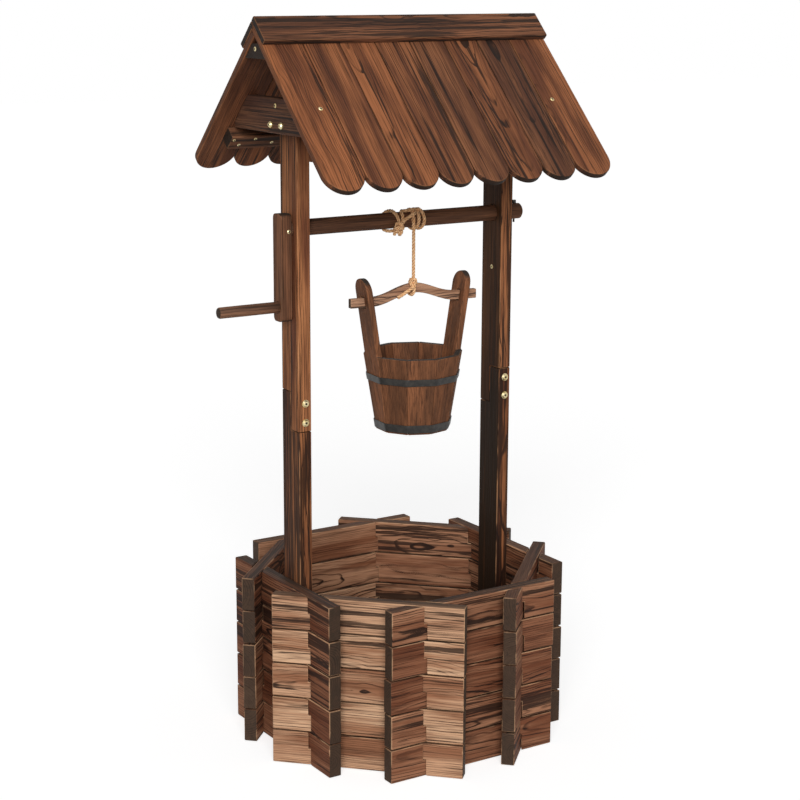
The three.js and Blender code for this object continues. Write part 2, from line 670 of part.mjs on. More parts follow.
// Bucket: one long stave with a round top and a mortise for the yoke
function earGeometry() {
  const section = [
    [bucketFlat(BUCKET_LOW) - STAVE_THICK, BUCKET_LOW], [bucketFlat(BUCKET_LOW), BUCKET_LOW],
    [bucketFlat(EAR_TOP), EAR_TOP], [bucketFlat(EAR_TOP) - STAVE_THICK, EAR_TOP],
  ];
  const reach = bucketRadius(EAR_TOP);
  const outline = [[-reach, BUCKET_LOW], [reach, BUCKET_LOW], [reach, BUCKET_RIM], [EAR_HALF, BUCKET_RIM]];
  for (let step = 0; step <= EAR_STEPS; step += 1) {
    const angle = Math.PI * step / EAR_STEPS;
    outline.push([EAR_HALF * Math.cos(angle), EAR_TOP - EAR_HALF + EAR_HALF * Math.sin(angle)]);
  }
  outline.push([-EAR_HALF, BUCKET_RIM], [-reach, BUCKET_RIM]);
  const stave = common(depthPrism(section, -reach, reach), lengthPrism(outline, 0, 2 * reach));
  const wedged = common(stave, uprightPrism(staveWedge(), BUCKET_LOW, EAR_TOP));
  const gap = YOKE_SECTION / 2 + SEAT;
  const wide = YOKE_THICK / 2 + SEAT;
  return cutBy(wedged, block(YOKE_ARCH_HALF, YOKE_HALF, -wide, wide, YOKE_HIGH - gap, YOKE_HIGH + gap));
}

// Bucket: the ten-sided floor inside the staves
function bucketFloorGeometry() {
  const low = BUCKET_LOW + BUCKET_FLOOR_UP;
  const corner = (bucketFlat(low) - STAVE_THICK - SEAT) / Math.cos(Math.PI / STAVE_COUNT);
  return new THREE.CylinderGeometry(corner, corner, BUCKET_FLOOR_THICK, STAVE_COUNT)
    .rotateX(Math.PI / 2).rotateZ(bucketCornerTurn()).translate(0, 0, low + BUCKET_FLOOR_THICK / 2);
}

// Bucket: the turn that brings a ten-sided ring's corners between the staves
function bucketCornerTurn() {
  return Math.PI / STAVE_COUNT + Math.PI / 2;
}

// Bucket: a flat hoop round the outside of the staves
function hoopGeometry(low, high) {
  const top = low + high;
  const seat = SEAT / Math.cos(Math.PI / STAVE_COUNT);
  const out = HOOP_THICK / Math.cos(Math.PI / STAVE_COUNT);
  const profile = [
    [bucketRadius(low) + seat, low], [bucketRadius(low) + seat + out, low],
    [bucketRadius(top) + seat + out, top], [bucketRadius(top) + seat, top],
    [bucketRadius(low) + seat, low],
  ];
  const points = profile.map(([radius, along]) => new THREE.Vector2(radius, along));
  return new THREE.LatheGeometry(points, STAVE_COUNT).rotateX(Math.PI / 2).rotateZ(bucketCornerTurn());
}

// Bucket: the height of the yoke's middle line above its ends
function yokeRise(x) {
  const share = Math.min(Math.abs(x) / YOKE_ARCH_HALF, 1);
  return YOKE_RISE * (1 + Math.cos(Math.PI * share)) / 2;
}

// Bucket: the arched bar that passes through both ears
function yokeGeometry() {
  const stations = [-YOKE_HALF];
  for (let step = 0; step <= YOKE_STEPS; step += 1) {
    stations.push(YOKE_ARCH_HALF * (2 * step / YOKE_STEPS - 1));
  }
  stations.push(YOKE_HALF);
  const line = (offset) => stations.map((x) => [x, YOKE_HIGH + yokeRise(x) + offset]);
  const outline = [...line(-YOKE_SECTION / 2), ...line(YOKE_SECTION / 2).reverse()];
  return depthPrism(outline, -YOKE_THICK / 2, YOKE_THICK / 2);
}

// Bucket: the rope's loop round the middle of the yoke, open under the knot
function loopGeometry() {
  const front = YOKE_THICK / 2 + SEAT + ROPE_RADIUS;
  const points = [];
  const high = YOKE_TOP - ROPE_RADIUS;
  const bend = YOKE_TOP - YOKE_SECTION;
  for (let step = 0; step < YOKE_LOOP_LEG_STEPS; step += 1) {
    points.push(new THREE.Vector3(0, -front, high + (bend - high) * step / YOKE_LOOP_LEG_STEPS));
  }
  const arcSteps = ROPE_LOOP_STEPS / 2;
  for (let step = 0; step <= arcSteps; step += 1) {
    const angle = Math.PI * step / arcSteps;
    points.push(new THREE.Vector3(0, -front * Math.cos(angle), bend - front * Math.sin(angle)));
  }
  for (let step = YOKE_LOOP_LEG_STEPS - 1; step >= 0; step -= 1) {
    points.push(new THREE.Vector3(0, front, high + (bend - high) * step / YOKE_LOOP_LEG_STEPS));
  }
  return ropeTube(points, ROPE_SIDES);
}

function addBucket() {
  const bucket = new THREE.Group();
  bucket.position.set(ROPE_AT, -WRAP_RADIUS, 0);
  bucket.rotation.z = BUCKET_TURN;
  well.add(bucket);
  for (let k = 0; k < STAVE_COUNT; k += 1) {
    const isEar = k % (STAVE_COUNT / 2) === 0;
    const place = k > STAVE_COUNT / 2 ? k - 1 : k;
    const name = isEar ? `bucket_${k === 0 ? 'right' : 'left'}_ear` : `bucket_stave_${place}`;
    const stave = addPiece(bucket, name, isEar ? earGeometry() : staveGeometry(), BUCKET_WOOD);
    stave.rotation.z = FULL_TURN * k / STAVE_COUNT;
  }
  addPiece(bucket, 'bucket_floor', bucketFloorGeometry(), BUCKET_WOOD);
  addPiece(bucket, 'bucket_upper_hoop', hoopGeometry(UPPER_HOOP_LOW, UPPER_HOOP_HIGH), HOOP_METAL);
  addPiece(bucket, 'bucket_lower_hoop', hoopGeometry(LOWER_HOOP_LOW, LOWER_HOOP_HIGH), HOOP_METAL);
  addPiece(bucket, 'bucket_yoke', yokeGeometry(), BUCKET_WOOD);
  addPiece(bucket, 'yoke_loop', loopGeometry(), ROPE_FIBRE);
}

addPlanter();
addPost('left', -1, 1);
addPost('right', 1, -1);
addRoof();
addWindlass();
addRope();
addBucket();

export default model;
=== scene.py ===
"""A wooden wishing well planter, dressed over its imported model.

Sizes are in millimetres and are turned into metres where a mesh is made. The front is at -Y, the crank at -X.
"""

import logging
import math
import random
from collections.abc import Iterable, Sequence
from dataclasses import dataclass, field
from enum import Enum
from typing import NamedTuple

import bmesh
import bpy
from mathutils import Matrix, Vector


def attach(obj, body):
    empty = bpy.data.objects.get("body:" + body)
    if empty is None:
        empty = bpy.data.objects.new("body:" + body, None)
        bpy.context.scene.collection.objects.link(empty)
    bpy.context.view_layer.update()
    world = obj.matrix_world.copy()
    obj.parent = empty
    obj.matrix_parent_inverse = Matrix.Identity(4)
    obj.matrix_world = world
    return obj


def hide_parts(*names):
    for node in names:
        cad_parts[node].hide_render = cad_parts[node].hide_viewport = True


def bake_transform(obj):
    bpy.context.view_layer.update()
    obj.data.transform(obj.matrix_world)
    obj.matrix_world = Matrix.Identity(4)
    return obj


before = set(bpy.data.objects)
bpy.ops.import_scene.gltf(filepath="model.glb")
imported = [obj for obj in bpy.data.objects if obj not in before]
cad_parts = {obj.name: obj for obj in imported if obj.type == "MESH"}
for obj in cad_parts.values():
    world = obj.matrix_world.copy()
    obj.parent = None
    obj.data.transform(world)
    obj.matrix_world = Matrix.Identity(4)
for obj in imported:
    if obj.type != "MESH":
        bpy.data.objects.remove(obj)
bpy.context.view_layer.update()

LOG = logging.getLogger("wishing_well_planter")
MM = 0.001
FULL_TURN = 2.0 * math.pi
SHARP_EDGE = math.radians(24.0)
SMALL_FACE = 150.0
MERGE_GAP = 0.004
FLAT_ANGLE = 0.01
FAR_AWAY = 1000.0

Point = tuple[float, float]
Way = tuple[float, float, float]
Colour = tuple[float, float, float, float]
Values = dict[object, object] | None
Socket = bpy.types.NodeSocket
Solid = bmesh.types.BMesh


class Axis(Enum):
    """The axis that an outline is pushed along: where its two numbers and its depth go."""

    X = (1, 2, 0)
    Y = (0, 2, 1)
    Z = (0, 1, 2)


class Run(Enum):
    """Which way a board's grain runs: the axes along it, across it and through it."""

    ALONG_X = (0, 2, 1)
    ALONG_X_FLAT = (0, 1, 2)
    UP_Z = (2, 1, 0)
    DOWN_Y = (1, 0, 2)


class Carve(Enum):
    """What carving leaves of a solid."""

    AWAY = "DIFFERENCE"
    COMMON = "INTERSECT"


class Body(Enum):
    """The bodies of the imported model."""

    FRAME = "frame"
    WINDLASS = "windlass"
    ROPE = "hanging_rope"
    KNOT = "knot"
    BUCKET = "bucket"


def colour(code: int) -> Colour:
    """Turn a written colour into the one that a shader takes.

    Args:
        code: The colour as 0xRRGGBB, as it is seen.

    Returns:
        The linear red, green, blue and alpha.
    """
    shares = [((code >> shift) & 255) / 255.0 for shift in (16, 8, 0)]
    linear = [((c + 0.055) / 1.055) ** 2.4 if c > 0.04045 else c / 12.92 for c in shares]
    return (linear[0], linear[1], linear[2], 1.0)


def smooth_step(value: float, start: float, end: float) -> float:
    """Ease from 0 to 1 while a value goes from start to end."""
    share = min(max((value - start) / (end - start), 0.0), 1.0)
    return share * share * (3.0 - 2.0 * share)


def around(radius: float, count: int, start: float = 0.0, middle: Point = (0.0, 0.0)) -> list[Point]:
    """Set out points evenly round a circle, the first of them start steps on from the first axis."""
    turns = [FULL_TURN * (k + start) / count for k in range(count)]
    return [(middle[0] + radius * math.cos(turn), middle[1] + radius * math.sin(turn)) for turn in turns]


# Node trees


class NodeSheet:
    """A node tree, put down and joined one call at a time."""

    def __init__(self, tree: bpy.types.NodeTree) -> None:
        """Take a tree to work on."""
        self.tree = tree

    def feed(self, socket: Socket, value: object) -> None:
        """Join a socket to another one, or give it a plain value.

        Args:
            socket: The input.
            value: An output socket or a value.
        """
        if isinstance(value, Socket):
            self.tree.links.new(value, socket)
        elif value is not None:
            socket.default_value = value

    def put(self, kind: str, values: Values = None, **settings: object) -> bpy.types.Node:
        """Put down one node.

        Args:
            kind: The node's type.
            values: What its inputs get, by name or number.
            **settings: Its own settings.

        Returns:
            The node.
        """
        node = self.tree.nodes.new(kind)
        for name, setting in settings.items():
            setattr(node, name, setting)
        for key, value in (values or {}).items():
            self.feed(node.inputs[key], value)
        return node

    def got(self, kind: str, values: Values = None, **settings: object) -> Socket:
        """Put down one node and take its first output."""
        return self.put(kind, values, **settings).outputs[0]

    def math(self, operation: str, *values: object) -> Socket:
        """Put down a sum on numbers, by the sum's name."""
        return self.got("ShaderNodeMath", dict(enumerate(values)), operation=operation)

    def times(self, first: object, second: object) -> Socket:
        """Put down a product."""
        return self.math("MULTIPLY", first, second)

    def times_plus(self, first: object, second: object, added: object) -> Socket:
        """Put down a product with a third number added."""
        return self.math("MULTIPLY_ADD", first, second, added)

    def vector(self, operation: str, *values: object) -> Socket:
        """Put down a sum on vectors, by the sum's name. A dot product gives a number."""
        node = self.put("ShaderNodeVectorMath", dict(enumerate(values)), operation=operation)
        return node.outputs["Value" if operation == "DOT_PRODUCT" else "Vector"]

    def scaled(self, vector: object, factor: object) -> Socket:
        """Put down a vector times a number."""
        return self.got("ShaderNodeVectorMath", {0: vector, "Scale": factor}, operation="SCALE")

    def combined(self, x: object = 0.0, y: object = 0.0, z: object = 0.0) -> Socket:
        """Put down a vector from three numbers or sockets."""
        return self.got("ShaderNodeCombineXYZ", {0: x, 1: y, 2: z})

    def eased(self, value: object, low: object, high: object, start: float = 0.0, end: float = 1.0) -> Socket:
        """Put down a smooth change from start to end while a value goes from low to high."""
        values = {"Value": value, "From Min": low, "From Max": high, "To Min": start, "To Max": end}
        return self.got("ShaderNodeMapRange", values, interpolation_type="SMOOTHSTEP")


class Shading(NodeSheet):
    """The nodes of one material."""

    def __init__(self, name: str) -> None:
        """Make the material and keep its shader.

        Args:
            name: The material's name.
        """
        self.material = bpy.data.materials.new(name)
        self.material.use_nodes = True
        super().__init__(self.material.node_tree)
        self.shader = self.tree.nodes["Principled BSDF"]

    def stored(self, name: str, output: str = "Vector") -> Socket:
        """Read a value that is stored on the mesh."""
        return self.put("ShaderNodeAttribute", attribute_name=name, attribute_type="GEOMETRY").outputs[output]

    def split(self, vector: object) -> tuple[Socket, ...]:
        """Split a vector into its three numbers."""
        return tuple(self.put("ShaderNodeSeparateXYZ", {0: vector}).outputs)

    def mixed(self, factor: object, first: object, second: object) -> Socket:
        """Mix two colours.

        Args:
            factor: The share of the second colour.
            first: The first colour.
            second: The second colour.

        Returns:
            The mixed colour's socket.
        """
        node = self.put("ShaderNodeMix", data_type="RGBA")
        for socket, value in zip((node.inputs[0], node.inputs[6], node.inputs[7]), (factor, first, second)):
            self.feed(socket, value)
        return node.outputs[2]

    def noise(self, vector: object, scale: float = 1.0, detail: float = 2.0, rough: float = 0.5) -> Socket:
        """Put down a noise from 0 to 1: how fine it is, its finer layers and how strong these are."""
        values = {"Vector": vector, "Scale": scale, "Detail": detail, "Roughness": rough}
        return self.got("ShaderNodeTexNoise", values)

    def shade(self, values: dict[str, object]) -> None:
        """Give the shader its inputs, by name."""
        for name, value in values.items():
            self.feed(self.shader.inputs[name], value)

    def bump(self, height: object, strength: float, distance: float) -> None:
        """Give the surface a fine relief: how much of it shows, and how high 1 is, in metres."""
        values = {"Height": height, "Strength": strength, "Distance": distance}
        self.shade({"Normal": self.got("ShaderNodeBump", values)})


# Finishes


class Dress(NamedTuple):
    """A material with the slot that it belongs to."""

    material: bpy.types.Material
    slot: str


@dataclass(frozen=True)
class Streaks:
    """Streaks that run along a board.

    Attributes:
        along: How many there are in a metre along the board.
        across: How many there are in a metre across it.
        shift: How far they are from the other streaks.
        detail: How many finer layers they have.
    """

    along: float
    across: float
    shift: float
    detail: float


FINE_GRAIN = Streaks(24.0, 640.0, 31.0, 2.0)
FIBRES = Streaks(9.0, 240.0, 23.0, 3.0)
BROAD_BANDS = Streaks(3.4, 42.0, 17.0, 4.0)
BURNT_STREAKS = Streaks(3.0, 125.0, 41.0, 5.0)
FADED_PATCHES = Streaks(9.0, 26.0, 13.0, 2.0)
RUBBED_STRETCHES = Streaks(16.0, 22.0, 7.0, 2.0)


class WoodShading(Shading):
    """The nodes of one wood, which read what Workpiece stores on each board."""

    def __init__(self, name: str) -> None:
        """Make the material and read the board's place in its tree.

        Args:
            name: The material's name.
        """
        super().__init__(name)
        self.place = self.stored("board_place")
        self.along, self.across, self.through = self.split(self.place)
        self.start, self.beside, self.behind = self.split(self.stored("board_seed"))
        self.tone, self.tilt, self.scorch = self.split(self.stored("board_tone"))

    def streaks(self, kind: Streaks) -> Socket:
        """Draw streaks that run along the board.

        Args:
            kind: Which streaks.

        Returns:
            The streaks, from 0 to 1.
        """
        at = self.combined(
            self.times_plus(self.along, kind.along, self.times(self.start, kind.shift)),
            self.times_plus(self.across, kind.across, self.times(self.start, kind.shift / 5.0)),
            self.times(self.through, kind.across))
        return self.noise(at, detail=kind.detail, rough=0.6)

    def rings(self, gap: float) -> Socket:
        """Cut the tree's growth rings with the board.

        Args:
            gap: How far the rings are apart, in millimetres.

        Returns:
            How dark the ring's line is here.
        """
        wander_at = self.combined(
            self.times_plus(self.along, 8.0, self.times(self.start, 11.0)),
            self.times(self.across, 12.0), self.times(self.through, 12.0))
        wander = self.math("SUBTRACT", self.noise(wander_at, detail=3.0), 0.5)
        beside = self.times_plus(wander, 0.014, self.math("ADD", self.across, self.beside))
        behind = self.times_plus(self.along, self.tilt, self.math("ADD", self.through, self.behind))
        behind = self.times_plus(wander, 0.016, behind)
        radius = self.math("SQRT", self.times_plus(beside, beside, self.times(behind, behind)))
        uneven = self.noise(self.combined(radius, self.start), scale=95.0, detail=1.0)
        count = self.times_plus(uneven, 2.2, self.math("DIVIDE", radius, gap * MM))
        share = self.math("FRACT", count)
        line = self.times(self.eased(share, 0.6, 0.9), self.eased(share, 0.93, 1.0, 1.0, 0.0))
        which = self.combined(self.math("FLOOR", count), self.start)
        odd = self.put("ShaderNodeTexWhiteNoise", {"Vector": which}, noise_dimensions="3D").outputs["Value"]
        return self.times(line, self.times_plus(odd, 0.75, 0.25))

    def worn(self, wide: float, fibre: Socket) -> Socket:
        """Find where the board's edges are rubbed bare.

        Args:
            wide: How wide the rubbed line is, in millimetres.
            fibre: The fine grain, which makes the line ragged.

        Returns:
            The share of wear.
        """
        room = self.vector("SUBTRACT", self.stored("board_half"), self.vector("ABSOLUTE", self.place))
        first, second, third = self.split(room)
        least = self.math("MINIMUM", first, second)
        most = self.math("MAXIMUM", first, second)
        near = self.math("MAXIMUM", least, self.math("MINIMUM", most, third))
        ragged = self.times_plus(fibre, 0.0036, near)
        line = self.eased(ragged, 0.0018, (1.8 + wide) * MM, 0.9, 0.0)
        rim = self.times(self.stored("board_rim", "Fac"), 0.75)
        rubbed = self.eased(self.streaks(RUBBED_STRETCHES), 0.44, 0.6)
        return self.times(self.math("MAXIMUM", line, rim), rubbed)


@dataclass(frozen=True)
class GrainFinish:
    """Torched and oiled softwood: growth rings cut by each board's faces, scorched streaks and worn edges.

    Attributes:
        name: The material's name.
        slot: The slot that it belongs to.
        pale: The palest wood between two rings' dark lines.
        brown: The darker wood between them.
        line: The dark lines and fibres.
        scorched: Where the torch burnt the wood.
        worn: Where an edge is rubbed bare.
        end: The boards' sawn ends, whose colour also goes on narrow and back faces as painted shade.
        ring_gap: How far the rings are apart, in millimetres.
        line_strength: How much the rings' dark lines show.
        scorch: How much a scorched streak covers.
        wear: How much a rubbed edge shows.
        wear_wide: How wide it is, in millimetres.
        roughness: How dull the wood is.
        relief: How much the grain stands out.
        stain: What a board one tone darker keeps of its red, green and blue.
    """

    name: str
    slot: str
    pale: int
    brown: int
    line: int
    scorched: int
    worn: int
    end: int
    ring_gap: float
    line_strength: float
    scorch: float = 0.85
    wear: float = 0.8
    wear_wide: float = 1.6
    roughness: float = 0.7
    relief: float = 0.55
    stain: tuple[float, float, float] = (0.72, 0.72, 0.74)

    def make(self) -> Dress:
        """Build the material.

        Returns:
            The material with its slot.
        """
        wood = WoodShading(self.name)
        fine, fibre, broad, streak, patch = (
            wood.streaks(kind) for kind in (FINE_GRAIN, FIBRES, BROAD_BANDS, BURNT_STREAKS, FADED_PATCHES))
        dark = colour(self.line)
        burnt_black = colour(self.scorched)
        lines = wood.times(wood.rings(self.ring_gap), wood.eased(patch, 0.3, 0.6, 0.3, 1.0))
        body = wood.mixed(wood.eased(broad, 0.36, 0.64), colour(self.pale), colour(self.brown))
        body = wood.mixed(wood.times(wood.eased(fibre, 0.46, 0.7), 0.5), body, dark)
        body = wood.mixed(wood.times(wood.eased(fine, 0.48, 0.7), 0.35), body, dark)
        body = wood.mixed(wood.times(lines, self.line_strength), body, dark)
        edge_of_burn = wood.times_plus(lines, 0.2, wood.times_plus(fibre, 0.24, streak))
        low = wood.times_plus(wood.scorch, -0.2, 0.79)
        burnt = wood.eased(edge_of_burn, low, wood.math("ADD", low, 0.08))
        body = wood.mixed(wood.times(burnt, self.scorch), body, burnt_black)
        darker = wood.times(wood.tone, -1.0)
        stain = wood.combined(*(wood.math("POWER", kept, darker) for kept in self.stain))
        body = wood.vector("MULTIPLY", body, stain)
        wear = wood.worn(self.wear_wide, fibre)
        body = wood.mixed(wood.times(wear, self.wear), body, colour(self.worn))
        end = wood.mixed(wood.times(lines, 0.8), colour(self.end), burnt_black)
        end = wood.mixed(wood.times(wear, 0.6), end, colour(self.worn))
        # The stored share marks the sawn ends and, as painted shade, the narrow faces and the faces behind.
        cut = wood.times(wood.stored("board_end_and_painted_shade", "Fac"), 0.94)
        wood.shade({
            "Base Color": wood.mixed(cut, body, end),
            "Roughness": wood.times_plus(fibre, 0.24, self.roughness - 0.12),
            "Specular IOR Level": 0.16})
        wood.bump(wood.times_plus(fine, 0.5, wood.times_plus(lines, 0.6, fibre)), self.relief, 0.0009)
        return Dress(wood.material, self.slot)


@dataclass(frozen=True)
class MetalFinish:
    """Plated or painted metal with faint blotches and scratches."""

    name: str
    slot: str
    bright: int
    dull: int
    metallic: float
    roughness: float
    scratch: float = 0.2

    def make(self) -> Dress:
        """Build the material.

        Returns:
            The material with its slot.
        """
        sheet = Shading(self.name)
        at = sheet.put("ShaderNodeTexCoord").outputs["Object"]
        blotch = sheet.noise(at, scale=120.0, detail=4.0, rough=0.6)
        body = sheet.mixed(sheet.eased(blotch, 0.35, 0.65), colour(self.bright), colour(self.dull))
        sheet.shade({
            "Base Color": body,
            "Roughness": sheet.times_plus(blotch, 0.3, self.roughness - 0.15),
            "Metallic": self.metallic})
        sheet.bump(sheet.noise(at, scale=900.0), self.scratch, 0.0002)
        return Dress(sheet.material, self.slot)


@dataclass(frozen=True)
class JuteFinish:
    """Twisted jute: pale fibres with loose darker hairs, and painted shade in the valleys between the
    strands.
    """

    name: str
    slot: str
    pale: int
    tan: int
    # The dark hairs, and the painted shade in the valleys between strands.
    deep: int

    def make(self) -> Dress:
        """Build the material.

        Returns:
            The material with its slot. It reads the place along and round each strand.
        """
        sheet = Shading(self.name)
        length, turn, _ = sheet.split(sheet.stored("strand_place"))
        slant = sheet.times_plus(length, 190.0, turn)
        fibre_at = sheet.combined(sheet.times(length, 260.0), sheet.times(slant, 3.0))
        fibre = sheet.noise(fibre_at, detail=3.0, rough=0.65)
        at = sheet.put("ShaderNodeTexCoord").outputs["Object"]
        patch = sheet.noise(at, scale=260.0, detail=3.0)
        fuzz = sheet.noise(at, scale=2400.0)
        body = sheet.mixed(sheet.eased(patch, 0.35, 0.65), colour(self.pale), colour(self.tan))
        body = sheet.mixed(sheet.times(sheet.eased(fibre, 0.5, 0.8), 0.45), body, colour(self.deep))
        # Painted shade in the valleys between the strands, where each strand's face turns in towards the
        # rope's middle.
        valley_painted_shade = sheet.eased(sheet.stored("strand_face", "Fac"), -0.15, 0.62, 0.85, 0.0)
        sheet.shade({
            "Base Color": sheet.mixed(valley_painted_shade, body, colour(self.deep)),
            "Roughness": 0.92,
            "Specular IOR Level": 0.15})
        sheet.bump(sheet.math("ADD", fibre, fuzz), 0.6, 0.0004)
        return Dress(sheet.material, self.slot)


@dataclass(frozen=True)
class Finishes:
    """Every finish of the well."""

    base: Dress
    post: Dress
    roof: Dress
    cap: Dress
    bucket: Dress
    yoke: Dress
    crank: Dress
    hoop: Dress
    bolt: Dress
    pin: Dress
    socket: Dress
    rope: Dress

    @classmethod
    def mixed(cls) -> "Finishes":
        """Make every material of the well.

        Returns:
            The finishes.
        """
        return cls(
            base=GrainFinish(
                "torched_base_boards", "base_wood", 0xCFA583, 0x98694C, 0x3C2216, 0x20140E, 0xDCAE86,
                0x3A2D23, ring_gap=3.5, line_strength=1.0, stain=(0.64, 0.53, 0.49)).make(),
            post=GrainFinish(
                "torched_posts", "post_wood", 0xB4774D, 0x70412A, 0x2C170E, 0x1F130D, 0xC48D63, 0x1D1104,
                ring_gap=4.2, line_strength=0.95, stain=(0.68, 0.64, 0.62)).make(),
            roof=GrainFinish(
                "torched_roof_planks", "roof_wood", 0x9A613F, 0x633B28, 0x25150D, 0x1E1510, 0xBB8358,
                0x201812, ring_gap=3.3, line_strength=0.96, wear=0.3, wear_wide=0.8,
                stain=(0.62, 0.7, 0.82)).make(),
            cap=GrainFinish(
                "torched_ridge_caps", "roof_wood", 0x8A5A3F, 0x583828, 0x281A13, 0x1F1712, 0xA06E4A, 0x1C1612,
                ring_gap=3.8, line_strength=0.95, wear=0.6).make(),
            bucket=GrainFinish(
                "bucket_wood", "bucket_wood", 0x845437, 0x5C3B27, 0x2F1C13, 0x281A13, 0x8F684C, 0x33302C,
                ring_gap=2.4, line_strength=0.85, scorch=0.5, wear=0.45).make(),
            yoke=GrainFinish(
                "yoke_wood", "bucket_wood", 0xC09375, 0x89624A, 0x44302A, 0x30251F, 0xC29E80, 0x3B3129,
                ring_gap=3.6, line_strength=0.75, scorch=0.8, wear=0.7).make(),
            crank=GrainFinish(
                "crank_wood", "crank_wood", 0x84583E, 0x593B2A, 0x2D1D15, 0x251B15, 0x8C6A4E, 0x2D251E,
                ring_gap=3.2, line_strength=0.8, scorch=0.7, wear=0.5, stain=(0.78, 0.71, 0.65)).make(),
            hoop=MetalFinish("black_hoops", "hoop_metal", 0x302D29, 0x1E1C1A, 0.35, 0.42).make(),
            bolt=MetalFinish("yellow_plated_bolts", "bolt_metal", 0xE0D2A8, 0xBFA972, 0.85, 0.34).make(),
            pin=MetalFinish("dark_steel_pin", "pin_metal", 0x3A3733, 0x2A2826, 0.8, 0.45).make(),
            # Dark recess discs on the fastener heads: painted shade standing for each socket's hollow.
            socket=MetalFinish("screw_recess_painted_shade", "bolt_metal", 0x3A3122, 0x2A241B, 0.6, 0.6).make(),
            rope=JuteFinish("jute_rope", "rope", 0xFACC9B, 0xE8B17D, 0x733F24).make(),
        )


# Solids


def on_bench(solid: Solid) -> bpy.types.Object:
    """Turn a solid into an object for a moment.

    Args:
        solid: The solid, which is freed.

    Returns:
        The object.
    """
    mesh = bpy.data.meshes.new("bench")
    solid.to_mesh(mesh)
    solid.free()
    return linked("bench", mesh)


def off_bench(made: bpy.types.Object) -> None:
    """Remove an object with its mesh.

    Args:
        made: The object.
    """
    mesh = made.data
    bpy.data.objects.remove(made)
    bpy.data.meshes.remove(mesh)


def linked(name: str, data: bpy.types.ID) -> bpy.types.Object:
    """Make an object and put it in the scene.

    Args:
        name: Its name.
        data: Its data.

    Returns:
        The object.
    """
    made = bpy.data.objects.new(name, data)
    bpy.context.scene.collection.objects.link(made)
    return made


def evaluated_mesh(made: bpy.types.Object) -> bpy.types.Mesh:
    """Read an object's mesh, with its modifiers applied, as a new plain one."""
    return bpy.data.meshes.new_from_object(made.evaluated_get(bpy.context.evaluated_depsgraph_get()))


def carved(solid: Solid, how: Carve, *cutters: Solid) -> Solid:
    """Carve a solid with others.

    Args:
        solid: The solid, which is freed.
        how: What is left.
        *cutters: The cutters, which are freed.

    Returns:
        What is left, with its flat faces whole again.
    """
    made = on_bench(solid)
    tools = [on_bench(cutter) for cutter in cutters]
    for tool in tools:
        step = made.modifiers.new("carve", "BOOLEAN")
        step.operation = how.value
        step.solver = "EXACT"
        step.object = tool
    left_mesh = evaluated_mesh(made)
    left = bmesh.new()
    left.from_mesh(left_mesh)
    bpy.data.meshes.remove(left_mesh)
    for each in (made, *tools):
        off_bench(each)
    bmesh.ops.remove_doubles(left, verts=left.verts, dist=MERGE_GAP)
    bmesh.ops.dissolve_limit(left, angle_limit=FLAT_ANGLE, verts=left.verts, edges=left.edges)
    return left


def lofted(rings: Sequence[Sequence[Vector]], looped: bool = False) -> Solid:
    """Skin a row of rings.

    Args:
        rings: The rings, each with the same number of corners.
        looped: Whether the last ring joins the first, instead of both being capped.

    Returns:
        The closed solid.
    """
    solid = bmesh.new()
    corners = [[solid.verts.new(corner) for corner in ring] for ring in rings]
    for first, second in zip(corners, corners[1:] + corners[:1] if looped else corners[1:]):
        for k, corner in enumerate(first):
            after = (k + 1) % len(first)
            solid.faces.new((corner, first[after], second[after], second[k]))
    if not looped:
        solid.faces.new(corners[0])
        solid.faces.new(corners[-1])
    bmesh.ops.recalc_face_normals(solid, faces=solid.faces)
    return solid


def prism(outline: Sequence[Point], low: float, high: float, axis: Axis) -> Solid:
    """Push an outline along an axis.

    Args:
        outline: The outline's points.
        low: Where the solid starts.
        high: Where it ends.
        axis: The axis.

    Returns:
        The solid.
    """
    rings = []
    for depth in (low, high):
        ring = []
        for first, second in outline:
            corner = [0.0, 0.0, 0.0]
            for place, value in zip(axis.value, (first, second, depth)):
                corner[place] = value
            ring.append(Vector(corner))
        rings.append(ring)
    return lofted(rings)


def block(x0: float, x1: float, y0: float, y1: float, z0: float, z1: float) -> Solid:
    """Make a block between two corners, to be eased or to carve with."""
    return prism([(x0, y0), (x1, y0), (x1, y1), (x0, y1)], z0, z1, Axis.Z)


def turned(profile: Sequence[Point], sides: int, at: Point = (0.0, 0.0)) -> Solid:
    """Turn a profile, as pairs of radius and x, about a line along X at some y and z."""
    return lofted([[Vector((x, y, z)) for y, z in around(radius, sides, 0.0, at)] for radius, x in profile])


def rounded(outline: Sequence[Point], radius: float, steps: int) -> list[Point]:
    """Round the corners of an outline.

    Args:
        outline: The outline's corners.
        radius: How far from each corner the round starts.
        steps: How many steps a round has.

    Returns:
        The outline with its round corners.
    """
    points = []
    count = len(outline)
    for k, corner in enumerate(outline):
        here = Vector(corner)
        before = (Vector(outline[k - 1]) - here).normalized() * radius + here
        after = (Vector(outline[(k + 1) % count]) - here).normalized() * radius + here
        for step in range(steps + 1):
            share = step / steps
            spot = before.lerp(here, share).lerp(here.lerp(after, share), share)
            points.append((spot.x, spot.y))
    return points


